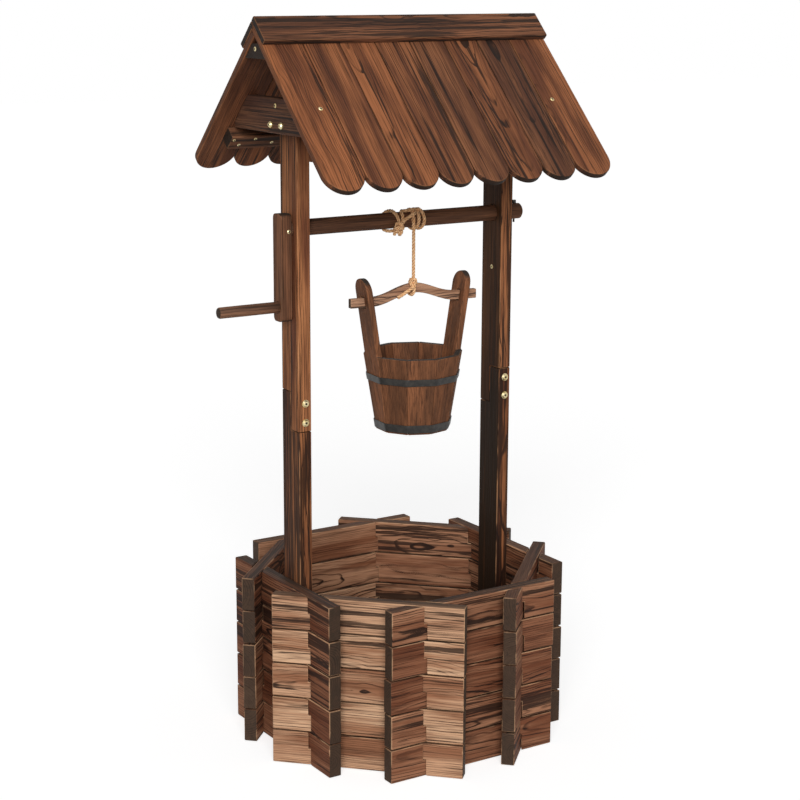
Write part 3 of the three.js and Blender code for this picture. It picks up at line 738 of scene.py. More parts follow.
@dataclass(frozen=True)
class Look:
    """How one board was cut from its tree, drawn from a seed.

    Attributes:
        seed: The seed of the draws.
        tone: How much paler than its finish it is, from -1 to 1.
        scorch: How scorched it is, from 0 to 1, or None for a draw.
        pith: How far behind the board the tree's middle is at least, in millimetres.
        beside: How far beside the board's middle it is, in millimetres, or None for a draw.
        lean: How far the board may lean in its tree.
    """

    seed: int
    tone: float = 0.0
    scorch: float | None = None
    pith: float = 9.0
    beside: float | None = None
    lean: float = 0.03

    def drawn(self) -> tuple[Vector, Vector]:
        """Draw the board's place in its tree.

        Returns:
            What board_seed and board_tone store.
        """
        draw = random.Random(self.seed)
        start = draw.uniform(0.0, 9.0)
        drawn_beside = draw.choice((-1.0, 1.0)) * draw.uniform(20.0, 50.0)
        beside = drawn_beside if self.beside is None else self.beside
        deep = draw.choice((-1.0, 1.0)) * draw.uniform(self.pith, self.pith + 24.0)
        lean = draw.uniform(-self.lean, self.lean)
        drawn_scorch = draw.random()
        scorch = drawn_scorch if self.scorch is None else self.scorch
        tone = self.tone + draw.uniform(-0.25, 0.25)
        return Vector((start, beside * MM, deep * MM)), Vector((tone, lean, scorch))


@dataclass
class Workpiece:
    """One piece of wood or metal: the corners and faces of its boards, and what its finish reads."""

    name: str
    corners: list[Vector] = field(default_factory=list)
    faces: list[list[int]] = field(default_factory=list)
    smooth: list[bool] = field(default_factory=list)
    points: dict[str, list[Vector]] = field(default_factory=lambda: {
        "board_place": [], "board_half": [], "board_seed": [], "board_tone": []})
    rims: list[float] = field(default_factory=list)
    ends: list[float] = field(default_factory=list)

    def add(self, solid: Solid, run: Run, look: Look, ease: float, place: Matrix | None = None,
            straight: bool = True, narrow: float = 0.0, behind: float = 0.0) -> "Workpiece":
        """Ease a board's edges and take it into the piece.

        Args:
            solid: The board, which is freed.
            run: Which way its grain runs.
            look: How it was cut from its tree.
            ease: How far its edges are rounded.
            place: Where it goes.
            straight: Whether its edges are straight, so that they wear along its box.
            narrow: How much painted shade darkens its narrow faces in the gaps, as a share of its sawn ends.
            behind: How much painted shade darkens the face that looks back along its depth.

        Returns:
            The piece itself.
        """
        eased = self._eased(solid, ease)
        solid.normal_update()
        solid.verts.index_update()
        places = [Vector([vert.co[k] for k in run.value]) for vert in solid.verts]
        low = Vector([min(spot[k] for spot in places) for k in range(3)])
        high = Vector([max(spot[k] for spot in places) for k in range(3)])
        half = (high - low) / 2.0 if straight else Vector((FAR_AWAY, FAR_AWAY, FAR_AWAY))
        seed, tone = look.drawn()
        first = len(self.corners)
        to_part = place or Matrix.Identity(4)
        for vert, spot in zip(solid.verts, places):
            self.corners.append(to_part @ vert.co)
            told = ((spot - (low + high) / 2.0) * MM, half * MM, seed, tone)
            for values, value in zip(self.points.values(), told):
                values.append(value)
            self.rims.append(1.0 if eased and all(face in eased for face in vert.link_faces) else 0.0)
        for face in solid.faces:
            self.faces.append([first + vert.index for vert in face.verts])
            # Sawn ends take the end colour; the narrow faces and the face behind take a share of it as
            # painted shade.
            end = smooth_step(abs(face.normal[run.value[0]]), 0.4, 0.8)
            edge = smooth_step(abs(face.normal[run.value[1]]), 0.75, 0.95) * narrow
            back = smooth_step(-face.normal[run.value[2]], 0.75, 0.95) * behind
            self.ends.append(max(end, edge, back))
            small = len(face.verts) == 4 and face.calc_area() < SMALL_FACE
            self.smooth.append(face in eased or small)
        solid.free()
        return self

    def _eased(self, solid: Solid, ease: float) -> set[bmesh.types.BMFace]:
        """Round a solid's sharp edges.

        Args:
            solid: The solid.
            ease: How far its edges are rounded.

        Returns:
            The faces of the rounds.
        """
        if ease <= 0.0:
            return set()
        edges = [edge for edge in solid.edges if edge.calc_face_angle(0.0) > SHARP_EDGE]
        made = bmesh.ops.bevel(
            solid, geom=edges, offset=ease, segments=2, profile=0.5, affect="EDGES", clamp_overlap=True)
        return set(made["faces"])

    def make(self, dress: Dress) -> bpy.types.Object:
        """Make the piece's object.

        Args:
            dress: Its material.

        Returns:
            The object, at the origin, with its place in its mesh.
        """
        mesh = bpy.data.meshes.new(self.name)
        mesh.from_pydata([corner * MM for corner in self.corners], [], self.faces)
        mesh.polygons.foreach_set("use_smooth", self.smooth)
        for name, values in self.points.items():
            stored = mesh.attributes.new(name, "FLOAT_VECTOR", "POINT")
            stored.data.foreach_set("vector", [number for value in values for number in value])
        mesh.attributes.new("board_rim", "FLOAT", "POINT").data.foreach_set("value", self.rims)
        mesh.attributes.new("board_end_and_painted_shade", "FLOAT", "FACE").data.foreach_set("value", self.ends)
        mesh.materials.append(dress.material)
        return linked(self.name, mesh)

    def fit(self, dress: Dress, body: Body, *nodes: str) -> bpy.types.Object:
        """Make the piece and set it on its body, over the nodes that it stands for."""
        return fitted(self.make(dress), body, dress, *nodes)


def fitted(piece: bpy.types.Object, body: Body, dress: Dress, *nodes: str) -> bpy.types.Object:
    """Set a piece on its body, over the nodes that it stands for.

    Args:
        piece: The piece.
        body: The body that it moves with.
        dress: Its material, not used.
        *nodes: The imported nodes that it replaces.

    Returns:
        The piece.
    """
    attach(piece, body.value)
    if nodes:
        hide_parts(*nodes)
    LOG.info("%s: %d faces on %s", piece.name, len(piece.data.polygons), body.value)
    return piece


# Geometry Nodes


class Recipe(NodeSheet):
    """A Geometry Nodes tree with named inputs, followed once for each piece that it makes."""

    draws: tuple[str, ...] = ()

    def __init__(self, name: str) -> None:
        """Start the tree with its source.

        Args:
            name: The tree's name.
        """
        super().__init__(bpy.data.node_groups.new(name, "GeometryNodeTree"))
        self.start = self.put("NodeGroupInput")
        self.asked: dict[str, str] = {}
        self.source = self.ask("Source", "Geometry")

    def ask(self, name: str, kind: str) -> Socket:
        """Add an input.

        Args:
            name: Its name.
            kind: Its kind, such as Float or Int.

        Returns:
            Its socket in the tree.
        """
        item = self.tree.interface.new_socket(name=name, in_out="INPUT", socket_type=f"NodeSocket{kind}")
        self.asked[name] = item.identifier
        return self.start.outputs[name]

    def store(self, geometry: object, name: str, value: object, kind: str, domain: str = "POINT") -> Socket:
        """Store a value of some kind for the finish to read, one for each member of a domain."""
        values = {"Geometry": geometry, "Name": name, "Value": value}
        return self.got("GeometryNodeStoreNamedAttribute", values, data_type=kind, domain=domain)

    def read(self, name: str) -> Socket:
        """Read a stored vector."""
        return self.got("GeometryNodeInputNamedAttribute", {"Name": name}, data_type="FLOAT_VECTOR")

    def moved(self, geometry: object, **values: object) -> Socket:
        """Move or turn a shape."""
        return self.got("GeometryNodeTransform", {"Geometry": geometry, **values})

    def copied(self, shape: object, points: object, **values: object) -> Socket:
        """Put a copy of a shape on each point."""
        return self.got("GeometryNodeInstanceOnPoints", {"Points": points, "Instance": shape, **values})

    def drawn(self, low: object, high: object, seed: object) -> Socket:
        """Draw a vector between two, one for each copy."""
        return self.got("FunctionNodeRandomValue", {0: low, 1: high, "Seed": seed}, data_type="FLOAT_VECTOR")

    def joined(self, *shapes: Socket) -> Socket:
        """Join some shapes.

        Args:
            *shapes: The shapes.

        Returns:
            All of them.
        """
        node = self.put("GeometryNodeJoinGeometry")
        for shape in shapes:
            self.tree.links.new(shape, node.inputs[0])
        return node.outputs[0]

    def dressed(self, geometry: object, material: object) -> Socket:
        """Make copies real and give them their material."""
        real = self.got("GeometryNodeRealizeInstances", {"Geometry": geometry})
        return self.got("GeometryNodeSetMaterial", {"Geometry": real, "Material": material})

    def serve(self, geometry: object) -> None:
        """End the tree with what it makes."""
        self.tree.interface.new_socket(name="Piece", in_out="OUTPUT", socket_type="NodeSocketGeometry")
        self.feed(self.put("NodeGroupOutput").inputs[0], geometry)

    def follow(self, name: str, source: bpy.types.Object, **values: object) -> bpy.types.Object:
        """Make one piece. What the tree draws for each copy isn't kept from the source.

        Args:
            name: The piece's name.
            source: The object that the tree works on, which is removed.
            **values: The inputs, with _ for each space.

        Returns:
            The piece, with a plain mesh.
        """
        for drawn in self.draws:
            source.data.attributes.remove(source.data.attributes[drawn])
        step = source.modifiers.new("recipe", "NODES")
        step.node_group = self.tree
        for key, value in values.items():
            step[self.asked[key.replace("_", " ")]] = value
        mesh = evaluated_mesh(source)
        source.modifiers.remove(step)
        off_bench(source)
        mesh.name = name
        return linked(name, mesh)


class StackRecipe(Recipe):
    """Boards stacked into a wall, each with its own place in its tree."""

    draws = ("board_seed", "board_tone")

    def __init__(self) -> None:
        """Build the tree."""
        super().__init__("stacked_boards")
        rows = self.ask("Rows", "Int")
        row_high = self.ask("Row high", "Float")
        slip = self.ask("Slip", "Float")
        shade = self.ask("Tone", "Float")
        turn = self.ask("Turn", "Float")
        seed = self.ask("Seed", "Int")
        line = self.got("GeometryNodeMeshLine", {"Count": rows, "Offset": self.combined(z=row_high)})
        boards = self.copied(self.source, line)
        deep = self.times(slip, 0.4)
        low = self.combined(self.times(slip, -1.0), self.times(deep, -1.0))
        shift = self.drawn(low, self.combined(slip, deep), seed)
        boards = self.got("GeometryNodeTranslateInstances", {"Instances": boards, "Translation": shift})
        place = self.drawn((0.0, -0.05, 0.008), (9.0, 0.05, 0.04), self.math("ADD", seed, 1.0))
        boards = self.store(boards, "board_seed", place, "FLOAT_VECTOR", "INSTANCE")
        tone = self.drawn((-0.5, -0.04, 0.0), (0.4, 0.04, 1.0), self.math("ADD", seed, 2.0))
        # The wall's painted light and shade is added to each board's random tone.
        tone = self.vector("ADD", tone, self.combined(shade))
        boards = self.store(boards, "board_tone", tone, "FLOAT_VECTOR", "INSTANCE")
        wall = self.moved(boards, Rotation=self.combined(z=turn))
        self.serve(self.dressed(wall, self.ask("Finish", "Material")))


class RingRecipe(Recipe):
    """Staves round a bucket, with the two that are longer left out."""

    draws = ("board_seed", "board_tone")

    def __init__(self) -> None:
        """Build the tree."""
        super().__init__("ring_of_staves")
        count = self.ask("Count", "Int")
        seed = self.ask("Seed", "Int")
        points = self.got("GeometryNodeMeshLine", {"Count": count, "Offset": (0.0, 0.0, 0.0)})
        index = self.got("GeometryNodeInputIndex")
        longer = self.math("COMPARE", self.math("MODULO", index, self.math("DIVIDE", count, 2.0)), 0.0, 0.1)
        turn = self.math("DIVIDE", self.times(index, FULL_TURN), count)
        staves = self.copied(
            self.source, points, Selection=self.math("SUBTRACT", 1.0, longer), Rotation=self.combined(z=turn))
        place = self.drawn((0.0, 0.028, 0.004), (9.0, 0.05, 0.016), seed)
        staves = self.store(staves, "board_seed", place, "FLOAT_VECTOR", "INSTANCE")
        tone = self.drawn((-0.3, -0.01, 0.0), (0.3, 0.01, 0.35), self.math("ADD", seed, 1.0))
        staves = self.store(staves, "board_tone", tone, "FLOAT_VECTOR", "INSTANCE")
        self.serve(self.dressed(staves, self.ask("Finish", "Material")))


class FastenerRecipe(Recipe):
    """A round or six-sided head on each point, facing away from its wood, with a dark disc in its top as
    painted shade for its recess.

    Attributes:
        collar_share: The share of the head's rise that is its upright rim.
        dome_foot: How wide the dome starts, as a share of the head's radius.
        dome_top: How wide it ends.
        dome_rings: How many rings of faces it has.
        recess_share: How thick the recess is, as a share of the rise.
        recess_out: How high its middle is.
        recess_sides: How many sides it has.
    """

    collar_share: float = 0.45
    dome_foot: float = 0.94
    dome_top: float = 0.62
    dome_rings: int = 3
    recess_share: float = 0.1
    recess_out: float = 1.01
    recess_sides: int = 6

    def __init__(self) -> None:
        """Build the tree."""
        super().__init__("fastener_heads")
        radius = self.ask("Radius", "Float")
        rise = self.ask("Rise", "Float")
        sides = self.ask("Sides", "Int")
        dished = self.ask("Recess", "Float")
        collar = self.times(rise, self.collar_share)
        rim = self.got("GeometryNodeMeshCylinder", {"Vertices": sides, "Radius": radius, "Depth": collar})
        dome = self.got("GeometryNodeMeshCone", {
            "Vertices": sides, "Side Segments": self.dome_rings,
            "Radius Bottom": self.times(radius, self.dome_foot),
            "Radius Top": self.times(radius, self.dome_top),
            "Depth": self.times(rise, 1.0 - self.collar_share)})
        recess = self.got("GeometryNodeMeshCylinder", {
            "Vertices": self.recess_sides, "Radius": self.times(radius, dished),
            "Depth": self.times(rise, self.recess_share)})
        head = self.joined(self._raised(rim, self.times(collar, 0.5)), self._raised(dome, collar))
        turn = self.got("FunctionNodeAlignRotationToVector", {"Vector": self.read("facing")}, axis="Z")
        heads = self.copied(head, self.source, Rotation=turn)
        # A dark disc just proud of each head's top: painted shade for the hollow of its recess.
        sunk = self._raised(recess, self.times(rise, self.recess_out))
        recess_shade_marks = self.copied(sunk, self.source, Rotation=turn)
        self.serve(self.joined(
            self.dressed(heads, self.ask("Finish", "Material")),
            self.dressed(recess_shade_marks, self.ask("Recess finish", "Material"))))

    def _raised(self, geometry: object, rise: object) -> Socket:
        """Raise a shape."""
        return self.moved(geometry, Translation=self.combined(z=rise))


class RopeRecipe(Recipe):
    """Strands laid round a route, as a rope's are."""

    sides: int = 8

    def __init__(self) -> None:
        """Build the tree."""
        super().__init__("laid_rope")
        strands = self.ask("Strands", "Int")
        strand_radius = self.ask("Strand radius", "Float")
        offset = self.ask("Offset", "Float")
        lay = self.ask("Lay", "Float")
        step = self.ask("Step", "Float")
        line = self.got("GeometryNodeMeshToCurve", {"Mesh": self.source})
        even = self.got("GeometryNodeResampleCurve", {"Curve": line, "Length": step}, mode="LENGTH")
        copies = self.put(
            "GeometryNodeDuplicateElements", {"Geometry": even, "Amount": strands}, domain="SPLINE").outputs
        number = copies["Duplicate Index"]
        tangent = self.got("GeometryNodeInputTangent")
        length = self.put("GeometryNodeSplineParameter").outputs["Length"]
        sideways = self.vector("DOT_PRODUCT", tangent, (1.0, 0.0, 0.0))
        side = self.vector("SUBTRACT", (1.0, 0.0, 0.0), self.scaled(tangent, sideways))
        side = self.vector("NORMALIZE", side)
        lift = self.vector("CROSS_PRODUCT", tangent, side)
        turns = self.math("ADD", self.math("DIVIDE", length, lay), self.math("DIVIDE", number, strands))
        angle = self.times(turns, FULL_TURN)
        away = self.vector(
            "ADD", self.scaled(side, self.math("COSINE", angle)), self.scaled(lift, self.math("SINE", angle)))
        told = self.store(copies["Geometry"], "strand_out", away, "FLOAT_VECTOR")
        told = self.store(told, "strand_place", self.combined(length, number), "FLOAT_VECTOR")
        out = self.read("strand_out")
        laid = self.got("GeometryNodeSetPosition", {"Geometry": told, "Offset": self.scaled(out, offset)})
        section = self.got(
            "GeometryNodeCurvePrimitiveCircle", {"Resolution": self.sides, "Radius": strand_radius})
        values = {"Curve": laid, "Profile Curve": section, "Fill Caps": True}
        tube = self.got("GeometryNodeCurveToMesh", values)
        # How far each face turns out from the rope's middle; the finish paints shade into the valleys where
        # it turns in.
        facing = self.vector("DOT_PRODUCT", self.got("GeometryNodeInputNormal"), out)
        tube = self.store(tube, "strand_face", facing, "FLOAT")
        smooth = self.got("GeometryNodeSetShadeSmooth", {"Geometry": tube})
        self.serve(self.dressed(smooth, self.ask("Finish", "Material")))


# The well


@dataclass(frozen=True)
class WellSizes:
    """The sizes that more than one part of the well is set out from, in millimetres.

    Attributes:
        seat: The gap where two pieces meet.
        overrun: How far a cutter goes past what it cuts.
        skim: The same for the cutter that trims a floor's boards.
        wall_horn: How far a wall's ends stand out past its corners.
        arm_gap: How far the crank arm is from the post.
        rope_at: How far to the right of the well's middle the rope hangs.
        bucket_turn: How far the bucket is turned on its rope, in radians.
    """

    seat: float = 0.3
    overrun: float = 4.0
    skim: float = 1.0
    wall_count: int = 8
    wall_side: float = 181.0
    wall_horn: float = 60.0
    wall_thick: float = 21.0
    post_thick: float = 22.0
    post_deep: float = 52.0
    post_top: float = 1020.0
    splice_low: float = 515.0
    splice_long: float = 60.0
    ridge_above_post: float = 105.0
    spindle_down: float = 194.0
    spindle_radius: float = 12.5
    arm_gap: float = 2.4
    arm_thick: float = 18.0
    handle_reach: float = 101.0
    rope_radius: float = 2.5
    rope_at: float = 16.0
    rope_drop: float = 80.4
    knot_radius: float = 6.0
    bucket_turn: float = math.radians(-4.1)

    @property
    def wall_turn(self) -> float:
        """The turn from one wall to the next."""
        return FULL_TURN / self.wall_count

    @property
    def wall_out(self) -> float:
        """The walls' outer faces, from the middle."""
        return self.wall_side / 2.0 / math.tan(self.wall_turn / 2.0)

    @property
    def wall_in(self) -> float:
        """The walls' inner faces, from the middle."""
        return self.wall_out - self.wall_thick

    @property
    def post_out(self) -> float:
        """The posts' outer faces, from the middle."""
        return self.wall_in - self.seat

    @property
    def post_in(self) -> float:
        """The posts' inner faces, from the middle."""
        return self.post_out - self.post_thick

    @property
    def ridge_high(self) -> float:
        """The height of the ridge."""
        return self.post_top + self.ridge_above_post

    @property
    def spindle_high(self) -> float:
        """The height of the spindle's line."""
        return self.post_top - self.spindle_down

    @property
    def arm_in(self) -> float:
        """The crank arm's inner face, from the middle."""
        return self.post_out + self.arm_gap

    @property
    def arm_out(self) -> float:
        """The crank arm's outer face, from the middle."""
        return self.arm_in + self.arm_thick

    @property
    def handle_end(self) -> float:
        """The handle's outer end, from the middle."""
        return self.arm_out + self.handle_reach

    @property
    def place(self) -> Matrix:
        """The well's place in the part."""
        horn_reach = self.wall_out + self.wall_horn * math.sin(self.wall_turn)
        return Matrix.Translation(((self.handle_end - horn_reach) / 2.0, 0.0, 0.0))

    @property
    def wrap_radius(self) -> float:
        """How far the rope's middle is from the spindle's line."""
        return self.spindle_radius + self.seat + self.rope_radius

    @property
    def drop_top(self) -> float:
        """The top of the rope's hanging stretch."""
        return self.spindle_high - 2.0 * self.rope_radius - self.seat

    @property
    def knot_high(self) -> float:
        """The height of the knot's middle."""
        return self.drop_top - self.rope_drop - self.seat - self.knot_radius

    @property
    def yoke_top(self) -> float:
        """The top of the yoke's arch."""
        return self.knot_high - self.knot_radius - self.seat

    @property
    def rope_line(self) -> Matrix:
        """The place in the part of the upright line that the rope hangs on."""
        return self.place @ Matrix.Translation((self.rope_at, -self.wrap_radius, 0.0))

    @property
    def bucket_place(self) -> Matrix:
        """The bucket's place in the part."""
        return self.rope_line @ Matrix.Rotation(self.bucket_turn, 4, "Z")


@dataclass
class Planter:
    """The eight-sided planter: forty cross-lapped boards and a slatted floor."""

    sizes: WellSizes
    finishes: Finishes
    rows: int = 5
    board_high: float = 55.0
    board_gap: float = 1.9
    slip: float = 1.5
    lap_clearance: float = 1.2
    ease: float = 1.7
    # Painted shade on the boards' narrow faces, their tops and bottoms, darkening the gaps between boards and
    # the wall tops.
    narrow_painted_shade: float = 0.65
    floor_slats: int = 5
    slat_thick: float = 12.0
    slat_gap: float = 8.0
    floor_fit: float = 0.6
    floor_post_gap: float = 14.19
    floor_ease: float = 1.2
    cleat_wide: float = 20.0
    cleat_high: float = 20.0
    cleat_end_gap: float = 13.29
    names: tuple[str, ...] = (
        "front", "front_right", "right", "back_right", "back", "back_left", "left", "front_left")
    seeds: tuple[int, ...] = (11, 24, 35, 47, 52, 66, 71, 83)
    # Painted light and shade: each wall's tone follows the way it faces the light, the front-left wall lit
    # and the front and left walls shaded.
    painted_light_by_wall: tuple[float, ...] = (-1.65, -1.3, -1.0, -0.8, -0.6, -0.9, -1.9, 0.1)
    board_look: Look = Look(1)
    slat_seed: int = 200
    cleat_seed: int = 210

    def build(self) -> None:
        """Build the walls and the floor."""
        recipe = StackRecipe()
        for index, (name, seed, tone) in enumerate(zip(self.names, self.seeds, self.painted_light_by_wall)):
            wall = recipe.follow(
                f"boards_{name}", self._board().make(self.finishes.base), Rows=self.rows,
                Row_high=self.board_high * MM, Slip=self.slip * MM, Turn=index * self.sizes.wall_turn,
                Seed=seed, Tone=tone, Finish=self.finishes.base.material)
            wall.data.transform(Matrix.Translation(self.sizes.place.translation * MM))
            fitted(wall, Body.FRAME, self.finishes.base, f"wall_{name}")
        self._floor()

    def _board(self) -> Workpiece:
        """Make the lowest board of the front wall, slotted for its two neighbours.

        Returns:
            The board.
        """
        sizes = self.sizes
        half = sizes.wall_side / 2.0 + sizes.wall_horn
        low = self.board_gap / 2.0
        high = self.board_high - self.board_gap / 2.0
        middle = self.board_high / 2.0
        bar = block(-half, half, -sizes.wall_out, -sizes.wall_in, low, high)
        cuts = (
            prism(self._slot(-1.0), middle - sizes.seat / 2.0, high + sizes.overrun, Axis.Z),
            prism(self._slot(1.0), low - sizes.overrun, middle + sizes.seat / 2.0, Axis.Z))
        slotted = carved(bar, Carve.AWAY, *cuts)
        return Workpiece("board").add(
            slotted, Run.ALONG_X, self.board_look, self.ease, narrow=self.narrow_painted_shade)

    def _slot(self, side: float) -> list[Point]:
        """Set out the slot that the next wall passes through.

        Args:
            side: -1 for the left end and 1 for the right.

        Returns:
            Its outline in plan.
        """
        sizes = self.sizes
        near = -sizes.wall_out - sizes.overrun
        far = -sizes.wall_in + sizes.overrun
        low = sizes.wall_in - self.lap_clearance
        high = sizes.wall_out + self.lap_clearance

        def crossing(reach: float, y: float) -> float:
            """Find where the next wall's face crosses this one's, at a depth."""
            return side * (reach + y * math.cos(sizes.wall_turn)) / math.sin(sizes.wall_turn)

        return [(crossing(reach, y), y) for reach, y in ((low, near), (high, near), (high, far), (low, far))]

    def _floor(self) -> None:
        """Build the floor slats and their two cleats."""
        sizes = self.sizes
        corner = (sizes.wall_in - self.floor_fit) / math.cos(sizes.wall_turn / 2.0)
        outline = around(corner, sizes.wall_count, 0.5)
        half = sizes.post_in - self.floor_post_gap
        step = (2.0 * half + self.slat_gap) / self.floor_slats
        top = self.cleat_high + self.slat_thick
        piece = Workpiece("floor_slats")
        for slat in range(self.floor_slats):
            x = -half + slat * step
            strip = block(x, x + step - self.slat_gap, -corner, corner, self.cleat_high, top)
            trimmer = prism(outline, self.cleat_high - sizes.skim, top + sizes.skim, Axis.Z)
            shape = carved(strip, Carve.COMMON, trimmer)
            piece.add(shape, Run.DOWN_Y, Look(self.slat_seed + slat), self.floor_ease, sizes.place)
        cleat_end = (sizes.wall_in - half * math.cos(sizes.wall_turn)) / math.sin(sizes.wall_turn)
        out = cleat_end - self.cleat_end_gap
        for number, side in enumerate((-1.0, 1.0)):
            near, far = sorted((side * out, side * (out - self.cleat_wide)))
            cleat = block(-half, half, near, far, 0.0, self.cleat_high)
            piece.add(cleat, Run.ALONG_X, Look(self.cleat_seed + number), self.floor_ease, sizes.place)
        piece.fit(self.finishes.base, Body.FRAME, "floor_panel")


class Head(Enum):
    """The kinds of fastener head: piece, radius, rise, sides, the recess's share, body and nodes."""

    SPLICE_BOLT = (
        "splice_bolt_heads", 6.0, 4.0, 20, 0.34, Body.FRAME, ("left_splice_bolt", "right_splice_bolt"))
    SPLICE_NUT = ("splice_bolt_nuts", 5.6, 5.0, 6, 0.5, Body.FRAME, ())
    GABLE_BOLT = ("gable_bolt_heads", 5.0, 4.4, 20, 0.34, Body.FRAME, ())
    SCREW = ("roof_screws", 3.4, 1.2, 16, 0.5, Body.FRAME, ())
    BATTEN_SCREW = ("batten_screws", 2.6, 0.9, 14, 0.5, Body.FRAME, ())
    ARM_SCREW = ("arm_screw", 3.2, 1.2, 16, 0.5, Body.WINDLASS, ())


@dataclass
class Fasteners:
    """Every bolt, nut and screw, as its place in the well and the way that it faces.

    Attributes:
        post_screw: How far forward or back and how high the screw in the right post's inner face is.
        spots: What the other classes note, for each kind of head.
    """

    sizes: WellSizes
    finishes: Finishes
    post_screw: Point = (-2.0, 739.0)
    spots: dict[Head, list[tuple[Sequence[float], Sequence[float]]]] = field(
        default_factory=lambda: {head: [] for head in Head})

    def note(self, head: Head, at: Sequence[float], facing: Sequence[float]) -> None:
        """Note a fastener's place and the way that it faces."""
        self.spots[head].append((at, facing))

    def build(self) -> None:
        """Build every fastener."""
        recipe = FastenerRecipe()
        self.note(Head.SCREW, (self.sizes.post_in, *self.post_screw), (-1.0, 0.0, 0.0))
        for head, spots in self.spots.items():
            name, radius, rise, sides, recess, body, nodes = head.value
            mesh = bpy.data.meshes.new(name)
            mesh.from_pydata([(self.sizes.place @ Vector(at)) * MM for at, _ in spots], [], [])
            facing = mesh.attributes.new("facing", "FLOAT_VECTOR", "POINT")
            facing.data.foreach_set("vector", [number for _, way in spots for number in way])
            piece = recipe.follow(
                name, linked("spots", mesh), Radius=radius * MM, Rise=rise * MM, Sides=sides, Recess=recess,
                Recess_finish=self.finishes.socket.material, Finish=self.finishes.bolt.material)
            fitted(piece, body, self.finishes.bolt, *nodes)


@dataclass
class Posts:
    """Two posts, each a lower and an upper half that are lapped and bolted together.

    Attributes:
        bolt_highs: The heights of the bolts.
        bore_gap: How much wider than the spindle its bore's radius is.
        looks: How the lower and the upper half of each post were cut.
        sides_painted_shade: How much painted shade darkens each post's left side.
    """

    sizes: WellSizes
    finishes: Finishes
    fasteners: Fasteners
    bolt_highs: tuple[float, float] = (560.0, 530.0)
    bore_gap: float = 0.6
    bore_sides: int = 32
    ease: float = 1.6
    looks: tuple[tuple[Look, Look], ...] = (
        (Look(300, -0.9, 1.1), Look(301, -0.25, 0.6)), (Look(310, -1.2, 1.4), Look(311, 0.2, 0.6)))
    # Painted shade on each post's left side, deep on the right post.
    sides_painted_shade: tuple[float, float] = (0.15, 0.88)

    def build(self) -> None:
        """Build both posts."""
        face = self.sizes.post_deep / 2.0
        middle = self.sizes.post_out - self.sizes.post_thick / 2.0
        for name, side, looks, dark in zip(("left", "right"), (-1.0, 1.0), self.looks, self.sides_painted_shade):
            self._post(name, side, looks, dark)
            for high in self.bolt_highs:
                self.fasteners.note(Head.SPLICE_BOLT, (side * middle, -face, high), (0.0, -1.0, 0.0))
                self.fasteners.note(Head.SPLICE_NUT, (side * middle, face, high), (0.0, 1.0, 0.0))

    def _post(self, name: str, side: float, looks: tuple[Look, Look], dark: float) -> None:
        """Build one post. The lower half's tongue is at the back on the left and at the front on the right.

        Args:
            name: Its side's name.
            side: -1 for the left and 1 for the right.
            looks: How its lower and its upper half were cut.
            dark: How much painted shade darkens its left side.
        """
        sizes = self.sizes
        x0, x1 = sorted((side * sizes.post_in, side * sizes.post_out))
        low = sizes.splice_low
        high = low + sizes.splice_long
        seat = sizes.seat
        inner = -side * seat / 2.0
        outer = -side * sizes.post_deep / 2.0
        lower = [(-outer, 0.0), (outer, 0.0), (outer, high), (inner, high), (inner, low), (-outer, low)]
        upper = [(outer, sizes.post_top), (-outer, sizes.post_top), (-outer, low + seat),
                 (-inner, low + seat), (-inner, high + seat), (outer, high + seat)]
        bore = sizes.spindle_radius + self.bore_gap
        ends = [(bore, x0 - sizes.overrun), (bore, x1 + sizes.overrun)]
        drill = turned(ends, self.bore_sides, (0.0, sizes.spindle_high))
        bored = carved(prism(upper, x0, x1, Axis.X), Carve.AWAY, drill)
        halves = (("below", "lower", prism(lower, x0, x1, Axis.X)), ("above", "upper", bored))
        for (part, node, shape), look in zip(halves, looks):
            # behind puts the painted shade on the post's left side.
            Workpiece(f"{name}_post_{part}").add(
                shape, Run.UP_Z, look, self.ease, sizes.place, behind=dark
            ).fit(self.finishes.post, Body.FRAME, f"{name}_{node}_post")


